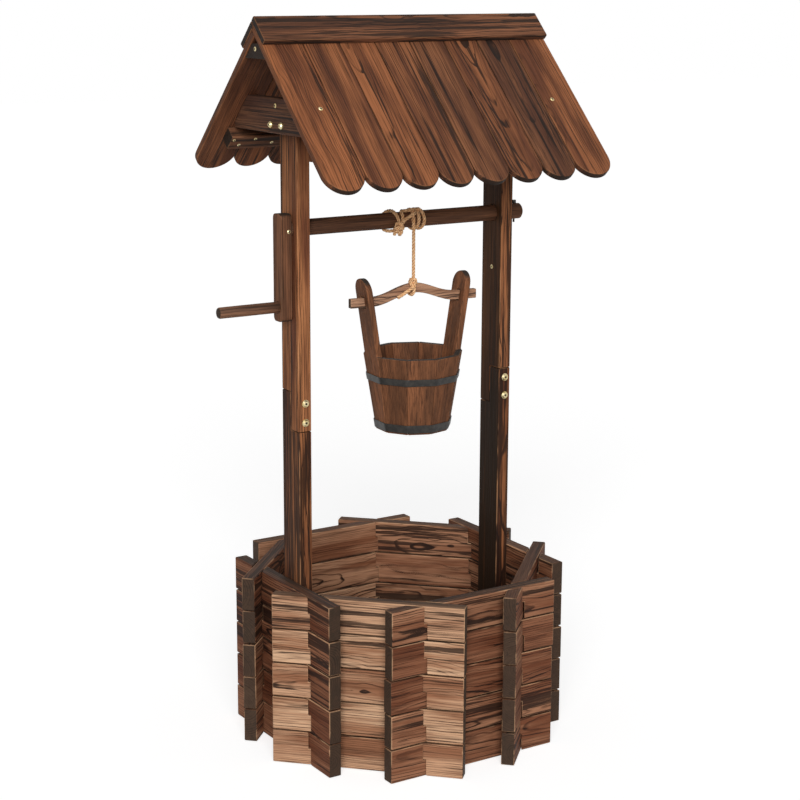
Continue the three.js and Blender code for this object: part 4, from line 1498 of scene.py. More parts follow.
@dataclass
class Roof:
    """The gabled roof: round-ended planks, ridge caps, battens, gable boards and a ridge beam.

    Attributes:
        screw_down: How far down a slope its two screws are.
        screw_across: How far along it they are, from its middle.
        batten_screws: The two batten screws at an odd and at an even plank: how far beside the plank's middle
            and how far down the batten each is.
        screw_end_gap: How far from the batten's end the last one stays.
        gable_bolt: How far from the middle and how high the bolts of a gable board are.
        gable_screw: The same for its screw.
        beam_screw_high: How high the screw in the ridge beam's end is.
        front_looks: How the front planks were cut.
        back_seed: The seed of the first back plank, which the others follow.
        cap_looks: How the front and the back ridge cap were cut.
        batten_looks_painted_shade: The same for the battens, darkened as painted shade under the roof.
        gable_looks_painted_shade: The same for the left and the right gable board, darkened as painted shade
            under the overhang.
    """

    sizes: WellSizes
    finishes: Finishes
    fasteners: Fasteners
    pitch: float = math.pi / 4.0
    per_slope: int = 8
    plank_wide: float = 61.6
    end_plank_wide: float = 68.5
    plank_gap: float = 1.5
    plank_thick: float = 10.0
    plank_long: float = 311.0
    ease: float = 1.5
    # Painted shade on the planks' long sides, darkening the gaps between them.
    narrow_painted_shade: float = 0.5
    tip_steps: int = 22
    cap_wide: float = 48.0
    cap_thick: float = 10.0
    cap_ease: float = 1.6
    beam_down: float = 25.0
    beam_high: float = 22.0
    beam_set_back: float = 3.0
    beam_ease: float = 1.0
    batten_gap: float = 5.94
    batten_wide: float = 27.0
    batten_thick: float = 22.0
    batten_set_back: float = 29.3
    gable_thick: float = 19.0
    gable_high: float = 52.0
    gable_corner: float = 9.4336
    screw_down: float = 161.0
    screw_across: tuple[float, float] = (-207.0, 205.0)
    batten_screws: tuple[tuple[Point, Point], ...] = (((0.0, 6.0), (12.0, 17.5)), ((-26.0, 5.0), (6.0, 15.0)))
    screw_end_gap: float = 7.0
    gable_bolt: Point = (16.0, 980.5)
    gable_screw: Point = (3.0, 1009.0)
    beam_screw_high: float = 1092.0
    front_looks: tuple[Look, ...] = (
        Look(401, 0.1, 0.15), Look(402, 0.1, 0.25), Look(403, 0.15, 0.3), Look(404, -0.4, 0.6),
        Look(405, -0.6, 0.55), Look(406, -0.3, 0.65, 12.0, -4.0, 0.07), Look(407, -0.9, 0.8, 10.0, 6.0, 0.06),
        Look(408, -0.15, 0.25))
    back_seed: int = 450
    cap_looks: tuple[Look, Look] = (Look(430, 0.0, 0.8), Look(431, 0.0, 0.8))
    # The battens, gable boards and ridge beam are darkened as painted shade under the roof.
    batten_looks_painted_shade: tuple[Look, Look] = (Look(435, -1.1, 0.9), Look(436, -1.1, 0.9))
    gable_looks_painted_shade: tuple[Look, Look] = (Look(440, -1.5, 0.6), Look(441, -1.5, 0.6))
    beam_look_painted_shade: Look = Look(445, -1.0, 1.0)

    @property
    def half_long(self) -> float:
        """Half of the roof's length."""
        return self.end_plank_wide + self.plank_wide * (self.per_slope / 2 - 1)

    @property
    def batten_down(self) -> float:
        """Find how far down the slope the batten starts.

        Returns:
            The distance from the ridge.
        """
        low = self.sizes.post_top - self.gable_high
        half = self.under(low + self.gable_corner)
        end = half * math.cos(self.pitch) + (self.sizes.ridge_high - low) * math.sin(self.pitch)
        return end + self.batten_gap

    def under(self, z: float) -> float:
        """Find how far from the middle the planks' undersides are at a height."""
        drop = (self.plank_thick + self.sizes.seat) / math.cos(self.pitch)
        return (self.sizes.ridge_high - drop - z) / math.tan(self.pitch)

    def slope(self, side: float) -> Matrix:
        """Find the place of a slope's frame, whose -y runs down it and whose z leaves its outer face."""
        turn = Matrix.Rotation(0.0 if side < 0 else math.pi, 4, "Z") @ Matrix.Rotation(self.pitch, 4, "X")
        return self.sizes.place @ Matrix.Translation((0.0, 0.0, self.sizes.ridge_high)) @ turn

    def build(self) -> None:
        """Build the roof."""
        for name, side in (("front", -1.0), ("back", 1.0)):
            self._planks(name, side)
            self._cap_and_batten(name, side)
            self._screws(side)
        for name, side in (("left", -1.0), ("right", 1.0)):
            self._gable(name, side)
        self._beam()

    def _planks(self, name: str, side: float) -> None:
        """Build one slope's planks.

        Args:
            name: The slope's name.
            side: -1 for the front and 1 for the back.
        """
        butt = 0.0 if side < 0 else self.plank_thick + self.sizes.seat
        edge = -self.half_long
        for plank in range(self.per_slope):
            wide = self.end_plank_wide if plank in (0, self.per_slope - 1) else self.plank_wide
            look = self.front_looks[plank] if side < 0 else Look(self.back_seed + plank)
            place = self.slope(side) @ Matrix.Translation((edge + wide / 2.0, 0.0, 0.0))
            board = prism(self._outline(wide, butt), -self.plank_thick, 0.0, Axis.Z)
            Workpiece(f"{name}_roof_plank_{plank + 1}").add(
                board, Run.DOWN_Y, look, self.ease, place, narrow=self.narrow_painted_shade
            ).fit(self.finishes.roof, Body.FRAME, f"{name}_plank_{plank + 1}")
            edge += wide

    def _outline(self, wide: float, butt: float) -> list[Point]:
        """Set out one plank, from its butt down to its round tip.

        Args:
            wide: How wide its place is.
            butt: How far down its butt is.

        Returns:
            Its outline.
        """
        half = (wide - self.plank_gap) / 2.0
        points = [(half, -butt), (-half, -butt)]
        for step in range(self.tip_steps + 1):
            angle = math.pi + math.pi * step / self.tip_steps
            points.append((half * math.cos(angle), -self.plank_long + half + half * math.sin(angle)))
        return points

    def _cap_and_batten(self, name: str, side: float) -> None:
        """Build one slope's ridge cap and eave batten.

        Args:
            name: The slope's name.
            side: -1 for the front and 1 for the back.
        """
        seat = self.sizes.seat
        place = self.slope(side)
        top = self.cap_thick + seat if side < 0 else -seat
        cap = block(-self.half_long, self.half_long, top - self.cap_wide, top, seat, seat + self.cap_thick)
        Workpiece(f"{name}_cap_board").add(
            cap, Run.ALONG_X_FLAT, self.cap_looks[side > 0], self.cap_ease, place
        ).fit(self.finishes.cap, Body.FRAME, f"{name}_ridge_cap")
        under = -self.plank_thick - seat
        half = self.half_long - self.batten_set_back
        down = self.batten_down
        batten = block(-half, half, -down - self.batten_wide, -down, under - self.batten_thick, under)
        Workpiece(f"{name}_batten").add(
            batten, Run.ALONG_X_FLAT, self.batten_looks_painted_shade[side > 0], self.ease, place
        ).fit(self.finishes.roof, Body.FRAME, f"{name}_eave_batten")

    def _screws(self, side: float) -> None:
        """Note the screws of one slope and its batten.

        Args:
            side: -1 for the front and 1 for the back.
        """
        slope = self.sizes.place.inverted() @ self.slope(side)
        out = slope.to_3x3() @ Vector((0.0, 0.0, 1.0))
        for x in self.screw_across:
            self.fasteners.note(Head.SCREW, slope @ Vector((-side * x, -self.screw_down, 0.0)), out)
        under = -self.plank_thick - self.sizes.seat - self.batten_thick
        end = self.half_long - self.batten_set_back - self.screw_end_gap
        first = self.end_plank_wide / 2.0 - self.half_long
        for plank in range(self.per_slope):
            x = first - 2.0 * first * plank / (self.per_slope - 1)
            for shift, down in self.batten_screws[plank % 2]:
                spot = Vector((-side * min(x + shift, end), -self.batten_down - down, under))
                self.fasteners.note(Head.BATTEN_SCREW, slope @ spot, -out)

    def _gable(self, name: str, side: float) -> None:
        """Build one gable board and note its bolts and screws.

        Args:
            name: Its side's name.
            side: -1 for the left and 1 for the right.
        """
        sizes = self.sizes
        low = sizes.post_top - self.gable_high
        corner = low + self.gable_corner
        wide = self.under(corner)
        top = self.under(sizes.post_top)
        outline = [(-wide, low), (wide, low), (wide, corner), (top, sizes.post_top), (-top, sizes.post_top),
                   (-wide, corner)]
        near = side * (sizes.post_out + sizes.seat)
        face = near + side * self.gable_thick
        board = prism(outline, min(near, face), max(near, face), Axis.X)
        turn = Matrix.Rotation(math.pi / 2.0, 4, "Z")
        board.transform(turn.inverted())
        Workpiece(f"{name}_gable_plank").add(
            board, Run.ALONG_X, self.gable_looks_painted_shade[side > 0], self.ease, sizes.place @ turn
        ).fit(self.finishes.roof, Body.FRAME, f"{name}_gable_board")
        facing = (side, 0.0, 0.0)
        y, z = self.gable_bolt
        self.fasteners.note(Head.GABLE_BOLT, (face, -y, z), facing)
        self.fasteners.note(Head.GABLE_BOLT, (face, y, z), facing)
        self.fasteners.note(Head.SCREW, (face, *self.gable_screw), facing)
        beam_end = side * (self.half_long - self.beam_set_back)
        self.fasteners.note(Head.SCREW, (beam_end, 0.0, self.beam_screw_high), facing)

    def _beam(self) -> None:
        """Build the ridge beam."""
        high = self.sizes.ridge_high - self.beam_down
        low = high - self.beam_high
        below, above = self.under(low), self.under(high)
        half = self.half_long - self.beam_set_back
        beam = prism([(-below, low), (below, low), (above, high), (-above, high)], -half, half, Axis.X)
        Workpiece("ridge_timber").add(
            beam, Run.ALONG_X, self.beam_look_painted_shade, self.beam_ease, self.sizes.place
        ).fit(self.finishes.roof, Body.FRAME, "ridge_beam")


@dataclass
class Windlass:
    """The spindle with its crank arm, handle and retaining pin.

    Attributes:
        handle_profile: The corners of the handle's rounded end: how far past its radius and how far from its
            end each is.
    """

    sizes: WellSizes
    finishes: Finishes
    fasteners: Fasteners
    stub: float = 31.0
    shoulder_ease: float = 1.0
    end_ease: float = 1.6
    tenon_radius: float = 7.5
    tenon_long: float = 12.0
    arm_wide: float = 25.0
    arm_above: float = 23.5
    arm_below: float = 140.0
    arm_corner: float = 8.0
    arm_corner_steps: int = 6
    arm_ease: float = 1.4
    arm_screw_in: float = 13.6
    arm_screw_high: float = 822.8
    handle_up: float = 22.0
    handle_radius: float = 8.5
    handle_socket: float = 13.0
    handle_profile: tuple[Point, ...] = ((-2.6, 0.0), (-0.9, 0.7), (0.0, 2.4), (0.15, 40.0))
    pin_radius: float = 1.6
    pin_proud: float = 5.5
    pin_head_radius: float = 3.4
    pin_ease: float = 0.4
    pin_from_end: float = 10.0
    pin_sides: int = 20
    bore_sides: int = 32
    sides: int = 40
    spindle_look: Look = Look(501, 0.1, 0.45, 6.0, 30.0, 0.01)
    arm_look: Look = Look(502, -0.3, 0.45, 6.0, 34.0, 0.01)
    handle_look: Look = Look(503, 1.25, 0.35, 6.0, 30.0, 0.01)
    pin_look: Look = Look(504)

    @property
    def pin_at(self) -> float:
        """How far along the spindle its pin is."""
        return self.sizes.post_out + self.stub - self.pin_from_end

    @property
    def handle_high(self) -> float:
        """The height of the handle's line."""
        return self.sizes.spindle_high - self.arm_below + self.handle_up

    def build(self) -> None:
        """Build the windlass, apart from its rope."""
        self._spindle()
        self._arm()
        self._handle()
        self._pin()
        screw_at = (self.arm_screw_in - self.sizes.arm_out, -self.arm_wide / 2.0, self.arm_screw_high)
        self.fasteners.note(Head.ARM_SCREW, screw_at, (0.0, -1.0, 0.0))

    def _spindle(self) -> None:
        """Build the spindle, with its tenon and the hole for its pin."""
        sizes = self.sizes
        shoulder = -sizes.arm_in + sizes.seat
        end = sizes.post_out + self.stub
        radius = sizes.spindle_radius
        bar = turned([
            (self.tenon_radius, shoulder - self.tenon_long), (self.tenon_radius, shoulder),
            (radius - self.shoulder_ease, shoulder), (radius, shoulder + self.shoulder_ease),
            (radius, end - self.end_ease), (radius - self.end_ease, end),
        ], self.sides, (0.0, sizes.spindle_high))
        hole = self._upright(self.pin_radius + sizes.seat, -radius - sizes.overrun, radius + sizes.overrun)
        Workpiece("spindle_bar").add(
            carved(bar, Carve.AWAY, hole), Run.ALONG_X, self.spindle_look, 0.0, sizes.place, straight=False
        ).fit(self.finishes.crank, Body.WINDLASS, "spindle")

    def _arm(self) -> None:
        """Build the crank arm, with its sockets for the spindle and the handle."""
        sizes = self.sizes
        half = self.arm_wide / 2.0
        low, high = sizes.spindle_high - self.arm_below, sizes.spindle_high + self.arm_above
        outline = rounded(
            [(-half, low), (half, low), (half, high), (-half, high)], self.arm_corner, self.arm_corner_steps)
        tenon = self.tenon_radius + sizes.seat
        grip = self.handle_radius + sizes.seat
        arm = carved(
            prism(outline, -sizes.arm_out, -sizes.arm_in, Axis.X), Carve.AWAY,
            turned([(tenon, -sizes.arm_in - self.tenon_long), (tenon, -sizes.arm_in + sizes.overrun)],
                   self.bore_sides, (0.0, sizes.spindle_high)),
            turned([(grip, -sizes.arm_out - sizes.overrun), (grip, -sizes.arm_out + self.handle_socket)],
                   self.bore_sides, (0.0, self.handle_high)))
        Workpiece("arm_board").add(
            arm, Run.UP_Z, self.arm_look, self.arm_ease, sizes.place
        ).fit(self.finishes.crank, Body.WINDLASS, "crank_arm")

    def _handle(self) -> None:
        """Build the handle, a little thicker in the hand and with a rounded end."""
        grip = self.handle_radius
        end = -self.sizes.handle_end
        foot = self.handle_socket - self.sizes.seat - self.sizes.arm_out
        profile = [(grip + out, end + along) for out, along in self.handle_profile]
        handle = turned([*profile, (grip, foot)], self.sides, (0.0, self.handle_high))
        Workpiece("handle_grip").add(
            handle, Run.ALONG_X, self.handle_look, 0.0, self.sizes.place, straight=False
        ).fit(self.finishes.crank, Body.WINDLASS, "crank_handle")

    def _pin(self) -> None:
        """Build the pin through the spindle's end."""
        radius = self.sizes.spindle_radius
        tall = radius + self.pin_proud
        above = radius + self.sizes.seat
        piece = Workpiece("pin_steel")
        for width, low, high in ((self.pin_radius, -tall, above), (self.pin_head_radius, above, tall)):
            bar = self._upright(width, low, high)
            piece.add(bar, Run.UP_Z, self.pin_look, self.pin_ease, self.sizes.place)
        piece.fit(self.finishes.pin, Body.WINDLASS, "spindle_pin")

    def _upright(self, radius: float, low: float, high: float) -> Solid:
        """Make an upright round bar where the pin is, between two heights from the spindle's line."""
        outline = around(radius, self.pin_sides, 0.0, (self.pin_at, 0.0))
        return prism(outline, self.sizes.spindle_high + low, self.sizes.spindle_high + high, Axis.Z)


def flowing(points: Sequence[Sequence[float]], steps: int = 8) -> list[Vector]:
    """Run a smooth route through some points.

    Args:
        points: The points.
        steps: How many steps there are from one to the next.

    Returns:
        The route's points.
    """
    spots = [Vector(point) for point in points]
    spots = [spots[0] * 2.0 - spots[1], *spots, spots[-1] * 2.0 - spots[-2]]
    route = []
    for k in range(1, len(spots) - 2):
        before, here, after, beyond = spots[k - 1:k + 3]
        for step in range(steps):
            t = step / steps
            bend = (before * 2.0 - here * 5.0 + after * 4.0 - beyond) * t
            bend += (here - after) * 3.0 - before + beyond
            route.append(here + ((after - before) + bend * t) * (t / 2.0))
    return [*route, spots[-2]]


@dataclass(frozen=True)
class Tie:
    """The way of a strand in a knot.

    Attributes:
        middle: The knot's middle.
        wide: Half of how wide it is.
        tall: How far it goes up.
        deep: How far it goes forward and back.
        steps: How many steps the way has.
    """

    middle: Way
    wide: float
    tall: float
    deep: float
    steps: int = 48

    def way(self) -> list[Vector]:
        """Tie the strand.

        Returns:
            Its way, which ends where it starts.
        """
        spots = []
        for step in range(self.steps + 1):
            turn = FULL_TURN * step / self.steps
            x = self.wide * (math.sin(turn) + 2.0 * math.sin(2.0 * turn)) / 3.0
            z = self.tall * (2.0 * math.cos(2.0 * turn) - math.cos(turn)) / 3.0
            spots.append(Vector(self.middle) + Vector((x, self.deep * math.sin(3.0 * turn), z)))
        return spots


@dataclass
class Rope:
    """The rope: its turns and knot on the spindle, and its stretch, knot, loop and tail below them.

    Attributes:
        strands: How many strands it is laid from.
        strand_radius: How thick each is.
        strand_offset: How far its middle is from the rope's.
        lay: How long one turn of a strand is.
        step: How far apart the rings of a strand are.
        winding: The way of the rope round the spindle: how many turns, how far along, and how far off the
            spindle's own layer.
        tied_end: The same for the strand that is tied round the turns.
        spindle_tie: The knot there, from the well's middle.
        spindle_nubs: The ways of the two short ends below that knot, from the well's middle.
        leaving: The way of the hanging stretch's top on the spindle, under the turns.
        into_knot: How far the hanging stretch goes into the lower knot.
        lower_tie: The lower knot, from where the hanging rope's line meets the knot's height.
        in_knot: The way of the hanging rope inside that knot, from its own line.
        yoke_wraps: The way of the loop round the yoke, from that line.
        tail: The way of the loose end there.
        recipe: The tree that lays it.
    """

    sizes: WellSizes
    finishes: Finishes
    strands: int = 3
    strand_radius: float = 1.42
    strand_offset: float = 1.4
    lay: float = 15.0
    step: float = 1.3
    winding: tuple[Way, ...] = (
        (-0.04, 15.9, -5.2), (0.03, 16.4, -3.0), (0.1, 17.0, -1.3), (0.17, 17.6, -0.4), (0.25, 18.4, 0.0),
        (0.5, 20.9, 0.0), (0.75, 23.5, 0.0), (1.0, 25.6, 0.0), (1.25, 28.2, 0.0), (1.5, 30.6, 0.0),
        (1.75, 33.4, 0.0), (1.92, 35.4, 0.0), (2.04, 35.2, 0.0), (2.11, 34.2, 0.4), (2.145, 31.8, 2.2),
        (2.155, 28.0, 4.6), (2.155, 23.0, 3.6), (2.155, 18.0, 4.6), (2.175, 12.5, 1.8), (2.195, 7.0, 0.0),
        (2.2, 1.5, 0.0), (2.17, -2.0, 0.0), (2.1, -2.9, 0.0), (2.035, -3.9, 0.1), (1.985, -6.2, 0.9),
        (1.935, -10.4, 2.3), (1.88, -15.5, 2.7), (1.82, -20.0, 1.3), (1.765, -23.6, 0.2), (1.68, -25.6, 0.0),
        (1.5, -25.6, 0.0), (1.4, -22.6, 0.0), (1.33, -19.6, 0.0), (1.27, -17.4, 0.0), (1.14, -14.6, 0.0),
        (1.06, -13.2, 0.4), (0.98, -11.0, 2.0), (0.95, -13.0, 4.5))
    tied_end: tuple[Way, ...] = (
        (0.245, 23.6, 0.2), (0.2, 23.2, 0.2), (0.15, 21.8, 1.0), (0.105, 18.0, 5.0), (0.085, 13.5, 4.6),
        (0.06, 8.0, 3.4), (0.035, 2.0, 2.8), (0.005, -3.6, 3.6), (-0.03, -8.5, 5.0), (-0.05, -13.5, 6.2))
    spindle_tie: Tie = Tie((-15.0, -21.8, 819.0), 8.6, 5.0, 2.8)
    spindle_nubs: tuple[tuple[Way, ...], ...] = (
        ((-16.5, -21.0, 815.5), (-19.8, -20.0, 811.0), (-21.9, -18.5, 805.8)),
        ((-15.0, -20.0, 813.0), (-13.6, -19.0, 807.6), (-11.4, -18.6, 805.8), (-9.4, -19.0, 808.6),
         (-9.2, -20.0, 813.5)))
    leaving: tuple[Way, ...] = ((0.165, 17.3, -5.8), (0.11, 16.8, -3.2), (0.05, 16.3, -0.7), (0.0, 16.0, 0.0))
    into_knot: float = 5.2
    hanging_steps: int = 20
    lower_tie: Tie = Tie((-1.4, -3.0, -3.8), 5.0, 4.0, 2.2)
    in_knot: tuple[Way, ...] = (
        (0.0, 0.0, 736.0), (-0.2, -0.5, 733.6), (-0.8, -1.8, 731.2), (-1.4, -3.0, 729.0))
    yoke_wraps: tuple[Way, ...] = (
        (-1.6, -6.8, 731.0), (-2.6, -8.0, 727.0), (-2.9, -8.1, 720.5), (-3.2, -7.6, 715.5),
        (-4.0, -5.2, 711.4), (-5.0, -1.0, 710.0), (-5.2, 4.2, 711.0), (-4.6, 7.7, 715.0), (-3.4, 7.8, 722.5),
        (-2.6, 6.0, 730.0), (-3.0, 1.5, 733.0), (-6.2, -3.4, 732.2), (-8.2, -6.4, 728.4), (-6.4, -8.2, 724.8),
        (-3.4, -9.4, 723.0))
    tail: tuple[Way, ...] = (
        (-4.0, -9.0, 723.6), (-9.0, -10.9, 720.8), (-15.5, -11.2, 717.4), (-24.0, -11.0, 712.6),
        (-33.5, -10.5, 708.0))
    recipe: RopeRecipe = field(default_factory=RopeRecipe)

    @property
    def dress(self) -> Dress:
        """The rope's finish."""
        return self.finishes.rope

    def build(self) -> None:
        """Build every stretch of the rope."""
        self._winding()
        self._hanging()
        self._at_yoke()

    def laid(self, name: str, *routes: Sequence[Vector]) -> bpy.types.Object:
        """Lay rope along one or more routes.

        Args:
            name: The piece's name.
            *routes: The points of each, in the part's frame.

        Returns:
            The piece.
        """
        corners: list[Vector] = []
        edges: list[tuple[int, int]] = []
        for route in routes:
            first = len(corners)
            corners += [point * MM for point in route]
            edges += [(k, k + 1) for k in range(first, len(corners) - 1)]
        mesh = bpy.data.meshes.new("route")
        mesh.from_pydata(corners, edges, [])
        return self.recipe.follow(
            name, linked("route", mesh), Strands=self.strands, Strand_radius=self.strand_radius * MM,
            Offset=self.strand_offset * MM, Lay=self.lay * MM, Step=self.step * MM,
            Finish=self.dress.material)

    def _on_spindle(self, way: Sequence[Way]) -> list[Vector]:
        """Run a smooth route round the spindle.

        Args:
            way: How many turns, how far along, and how far off the spindle's own layer.

        Returns:
            The route in the part.
        """
        route = []
        for turns, along, lift in flowing(way):
            angle = FULL_TURN * turns
            radius = self.sizes.wrap_radius + lift
            route.append(self.sizes.place @ Vector((
                along, -radius * math.cos(angle), self.sizes.spindle_high + radius * math.sin(angle))))
        return route

    def _placed(self, way: Iterable[Vector], place: Matrix) -> list[Vector]:
        """Put a way in its place."""
        return [place @ point for point in way]

    def _winding(self) -> None:
        """Build the turns on the spindle and the knot that holds them."""
        place = self.sizes.place
        route = self._on_spindle(self.winding)
        piece = self.laid("spindle_rope", route)
        fitted(piece, Body.WINDLASS, self.dress, "rope_winding")
        knot = self.laid(
            "spindle_knot", self._on_spindle(self.tied_end), self._placed(self.spindle_tie.way(), place),
            *(self._placed(flowing(nub), place) for nub in self.spindle_nubs))
        fitted(knot, Body.WINDLASS, self.dress)

    def _hanging(self) -> None:
        """Build the stretch that hangs from the spindle, and its knot."""
        sizes = self.sizes
        line = sizes.rope_line
        long = sizes.rope_drop + self.into_knot
        route = self._on_spindle(self.leaving)
        straight = [Vector((0.0, 0.0, sizes.drop_top - long * step / self.hanging_steps))
                    for step in range(self.hanging_steps + 1)]
        route += self._placed(straight, line)
        piece = self.laid("hanging_rope_strands", route)
        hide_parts("rope_drop")
        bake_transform(piece)
        knot_place = line @ Matrix.Translation((0.0, 0.0, sizes.knot_high))
        knot = self.laid(
            "knot_strands", self._placed(self.lower_tie.way(), knot_place),
            self._placed(flowing(self.in_knot), line))
        fitted(knot, Body.KNOT, self.dress, "rope_knot")

    def _at_yoke(self) -> None:
        """Build the loop round the yoke and the tail that is left of the knot."""
        for name, way, far_end, lay, nodes in (
                ("yoke_loop_strands", self.yoke_wraps, "object", "taut", ["yoke_loop"]),
                ("knot_tail", self.tail, "bare", "hanging", [])):
            route = self._placed(flowing(way), self.sizes.bucket_place)
            piece = self.laid(name, route)
            fitted(piece, Body.BUCKET, self.dress, *nodes)


@dataclass
class Bucket:
    """The staved bucket: two long staves with mortises, eight short ones, a floor, hoops and an arched yoke.

    Attributes:
        base_radius: The radius of its lowest corners.
        flare: How much that grows with each millimetre up.
        ear_long: How long the two long staves, its ears, are.
        ear_half: Half of an ear's width.
        ear_bend: How far below and above the rim an ear widens.
        mortise_reach: How far in and out the mortise is cut from an ear's outer face.
        hoop_bends: The corners of a hoop where it bends round a joint between two staves: how far from the
            joint they are, in degrees, and how far out.
        yoke_down: How far its ends are below the ears' tops.
    """

    sizes: WellSizes
    finishes: Finishes
    count: int = 10
    stave_thick: float = 10.0
    stave_long: float = 123.0
    stave_ease: float = 1.3
    base_radius: float = 59.4
    flare: float = 0.165
    ear_long: float = 245.0
    ear_half: float = 20.5
    ear_bend: float = 1.5
    ear_steps: int = 22
    ear_ease: float = 1.5
    mortise_gap: float = 1.3
    mortise_reach: Point = (20.0, 12.0)
    floor_up: float = 8.0
    floor_thick: float = 9.0
    floor_boards: int = 3
    floor_gap: float = 0.4
    floor_ease: float = 0.8
    hoop_thick: float = 1.3
    hoop_ease: float = 0.35
    hoop_bends: tuple[Point, ...] = ((-3.5, 1.0), (-1.2, 0.9985), (1.2, 0.9985), (3.5, 1.0))
    upper_hoop_down: float = 31.5
    upper_hoop_high: float = 11.0
    lower_hoop_up: float = 3.0
    lower_hoop_high: float = 13.0
    yoke_down: float = 37.7
    yoke_tail: float = 23.0
    yoke_section: float = 14.8
    yoke_thick: float = 9.0
    yoke_rise: float = 17.0
    yoke_arch_gap: float = 5.0
    yoke_ease: float = 1.2
    yoke_steps: int = 30
    ear_looks: tuple[Look, Look] = (
        Look(601, 0.65, 0.25, 6.0, 34.0, 0.01), Look(602, 0.65, 0.25, 6.0, 34.0, 0.01))
    stave_look: Look = Look(610)
    stave_seed: int = 9
    hoop_look: Look = Look(620)
    floor_seed: int = 630
    yoke_look: Look = Look(640, 0.0, 0.5, 6.0, 24.0, 0.02)

    @property
    def half_side(self) -> float:
        """Half of the turn from one stave to the next."""
        return math.pi / self.count

    @property
    def yoke_high(self) -> float:
        """The height of the yoke's ends."""
        return self.sizes.yoke_top - self.yoke_rise - self.yoke_section / 2.0

    @property
    def ear_top(self) -> float:
        """The top of the ears."""
        return self.yoke_high + self.yoke_down

    @property
    def low(self) -> float:
        """The bucket's lowest height."""
        return self.ear_top - self.ear_long

    @property
    def rim(self) -> float:
        """The height of the short staves' tops."""
        return self.low + self.stave_long

    def radius(self, z: float) -> float:
        """Find the corners' distance from the middle at a height."""
        return self.base_radius + self.flare * (z - self.low)

    def flat(self, z: float) -> float:
        """Find the flats' distance from the middle at a height."""
        return self.radius(z) * math.cos(self.half_side)

    def side(self, x: float) -> float:
        """Find half of a stave's width at a distance from the middle."""
        return x * math.tan(self.half_side) - self.sizes.seat / 2.0

    def build(self) -> None:
        """Build the bucket."""
        place = self.sizes.bucket_place
        self._staves()
        for name, turn, look in zip(("right", "left"), (0.0, math.pi), self.ear_looks):
            Workpiece(f"{name}_long_stave").add(
                self._ear(), Run.UP_Z, look, self.ear_ease, place @ Matrix.Rotation(turn, 4, "Z"),
                straight=False).fit(self.finishes.bucket, Body.BUCKET, f"bucket_{name}_ear")
        self._floor()
        for name, low, high in (
                ("upper", self.rim - self.upper_hoop_down - self.upper_hoop_high, self.upper_hoop_high),
                ("lower", self.low + self.lower_hoop_up, self.lower_hoop_high)):
            Workpiece(f"{name}_hoop_band").add(
                self._hoop(low, high), Run.UP_Z, self.hoop_look, self.hoop_ease, place
            ).fit(self.finishes.hoop, Body.BUCKET, f"bucket_{name}_hoop")
        self._yoke()

    def _staves(self) -> None:
        """Build the eight short staves."""
        rings = []
        for z in (self.low, self.rim):
            near, far = self.flat(z) - self.stave_thick, self.flat(z)
            rings.append([Vector((x, way * self.side(x), z)) for x, way in (
                (near, -1.0), (far, -1.0), (far, 1.0), (near, 1.0))])
        stave = Workpiece("stave").add(lofted(rings), Run.UP_Z, self.stave_look, self.stave_ease)
        staves = RingRecipe().follow(
            "short_staves", stave.make(self.finishes.bucket), Count=self.count, Seed=self.stave_seed,
            Finish=self.finishes.bucket.material)
        place = self.sizes.bucket_place
        place.translation *= MM
        staves.data.transform(place)
        nodes = [f"bucket_stave_{k}" for k in range(1, self.count - 1)]
        fitted(staves, Body.BUCKET, self.finishes.bucket, *nodes)

    def _ear(self) -> Solid:
        """Make the right ear: a long stave with a round top and a mortise.

        Returns:
            The ear.
        """
        rings = []
        for back in (self.stave_thick, 0.0):
            foot = self.side(self.flat(self.low) - back)
            shoulder = self.side(self.flat(self.rim) - back)
            below, above = self.rim - self.ear_bend, self.rim + self.ear_bend
            outline = [(-foot, self.low), (foot, self.low), (shoulder, below), (self.ear_half, above)]
            for step in range(self.ear_steps + 1):
                angle = math.pi * step / self.ear_steps
                outline.append((self.ear_half * math.cos(angle),
                                self.ear_top - self.ear_half + self.ear_half * math.sin(angle)))
            outline += [(-self.ear_half, above), (-shoulder, below)]
            rings.append([Vector((self.flat(z) - back, y, z)) for y, z in outline])
        gap = self.yoke_section / 2.0 + self.mortise_gap
        wide = self.yoke_thick / 2.0 + self.mortise_gap
        face = self.flat(self.yoke_high)
        near, far = self.mortise_reach
        mortise = block(face - near, face + far, -wide, wide, self.yoke_high - gap, self.yoke_high + gap)
        return carved(lofted(rings), Carve.AWAY, mortise)

    def _floor(self) -> None:
        """Build the bucket's floor from its boards."""
        low = self.low + self.floor_up
        high = low + self.floor_thick
        corner = (self.flat(low) - self.stave_thick - self.sizes.seat) / math.cos(self.half_side)
        outline = around(corner, self.count, 0.5)
        piece = Workpiece("bucket_floor_boards")
        wide = 2.0 * corner / self.floor_boards
        trim = self.floor_gap / 2.0
        for number in range(self.floor_boards):
            y = -corner + number * wide
            strip = block(-corner, corner, y + trim, y + wide - trim, low, high)
            trimmer = prism(outline, low - self.sizes.skim, high + self.sizes.skim, Axis.Z)
            shape = carved(strip, Carve.COMMON, trimmer)
            look = Look(self.floor_seed + number)
            piece.add(shape, Run.ALONG_X_FLAT, look, self.floor_ease, self.sizes.bucket_place)
        piece.fit(self.finishes.bucket, Body.BUCKET, "bucket_floor")

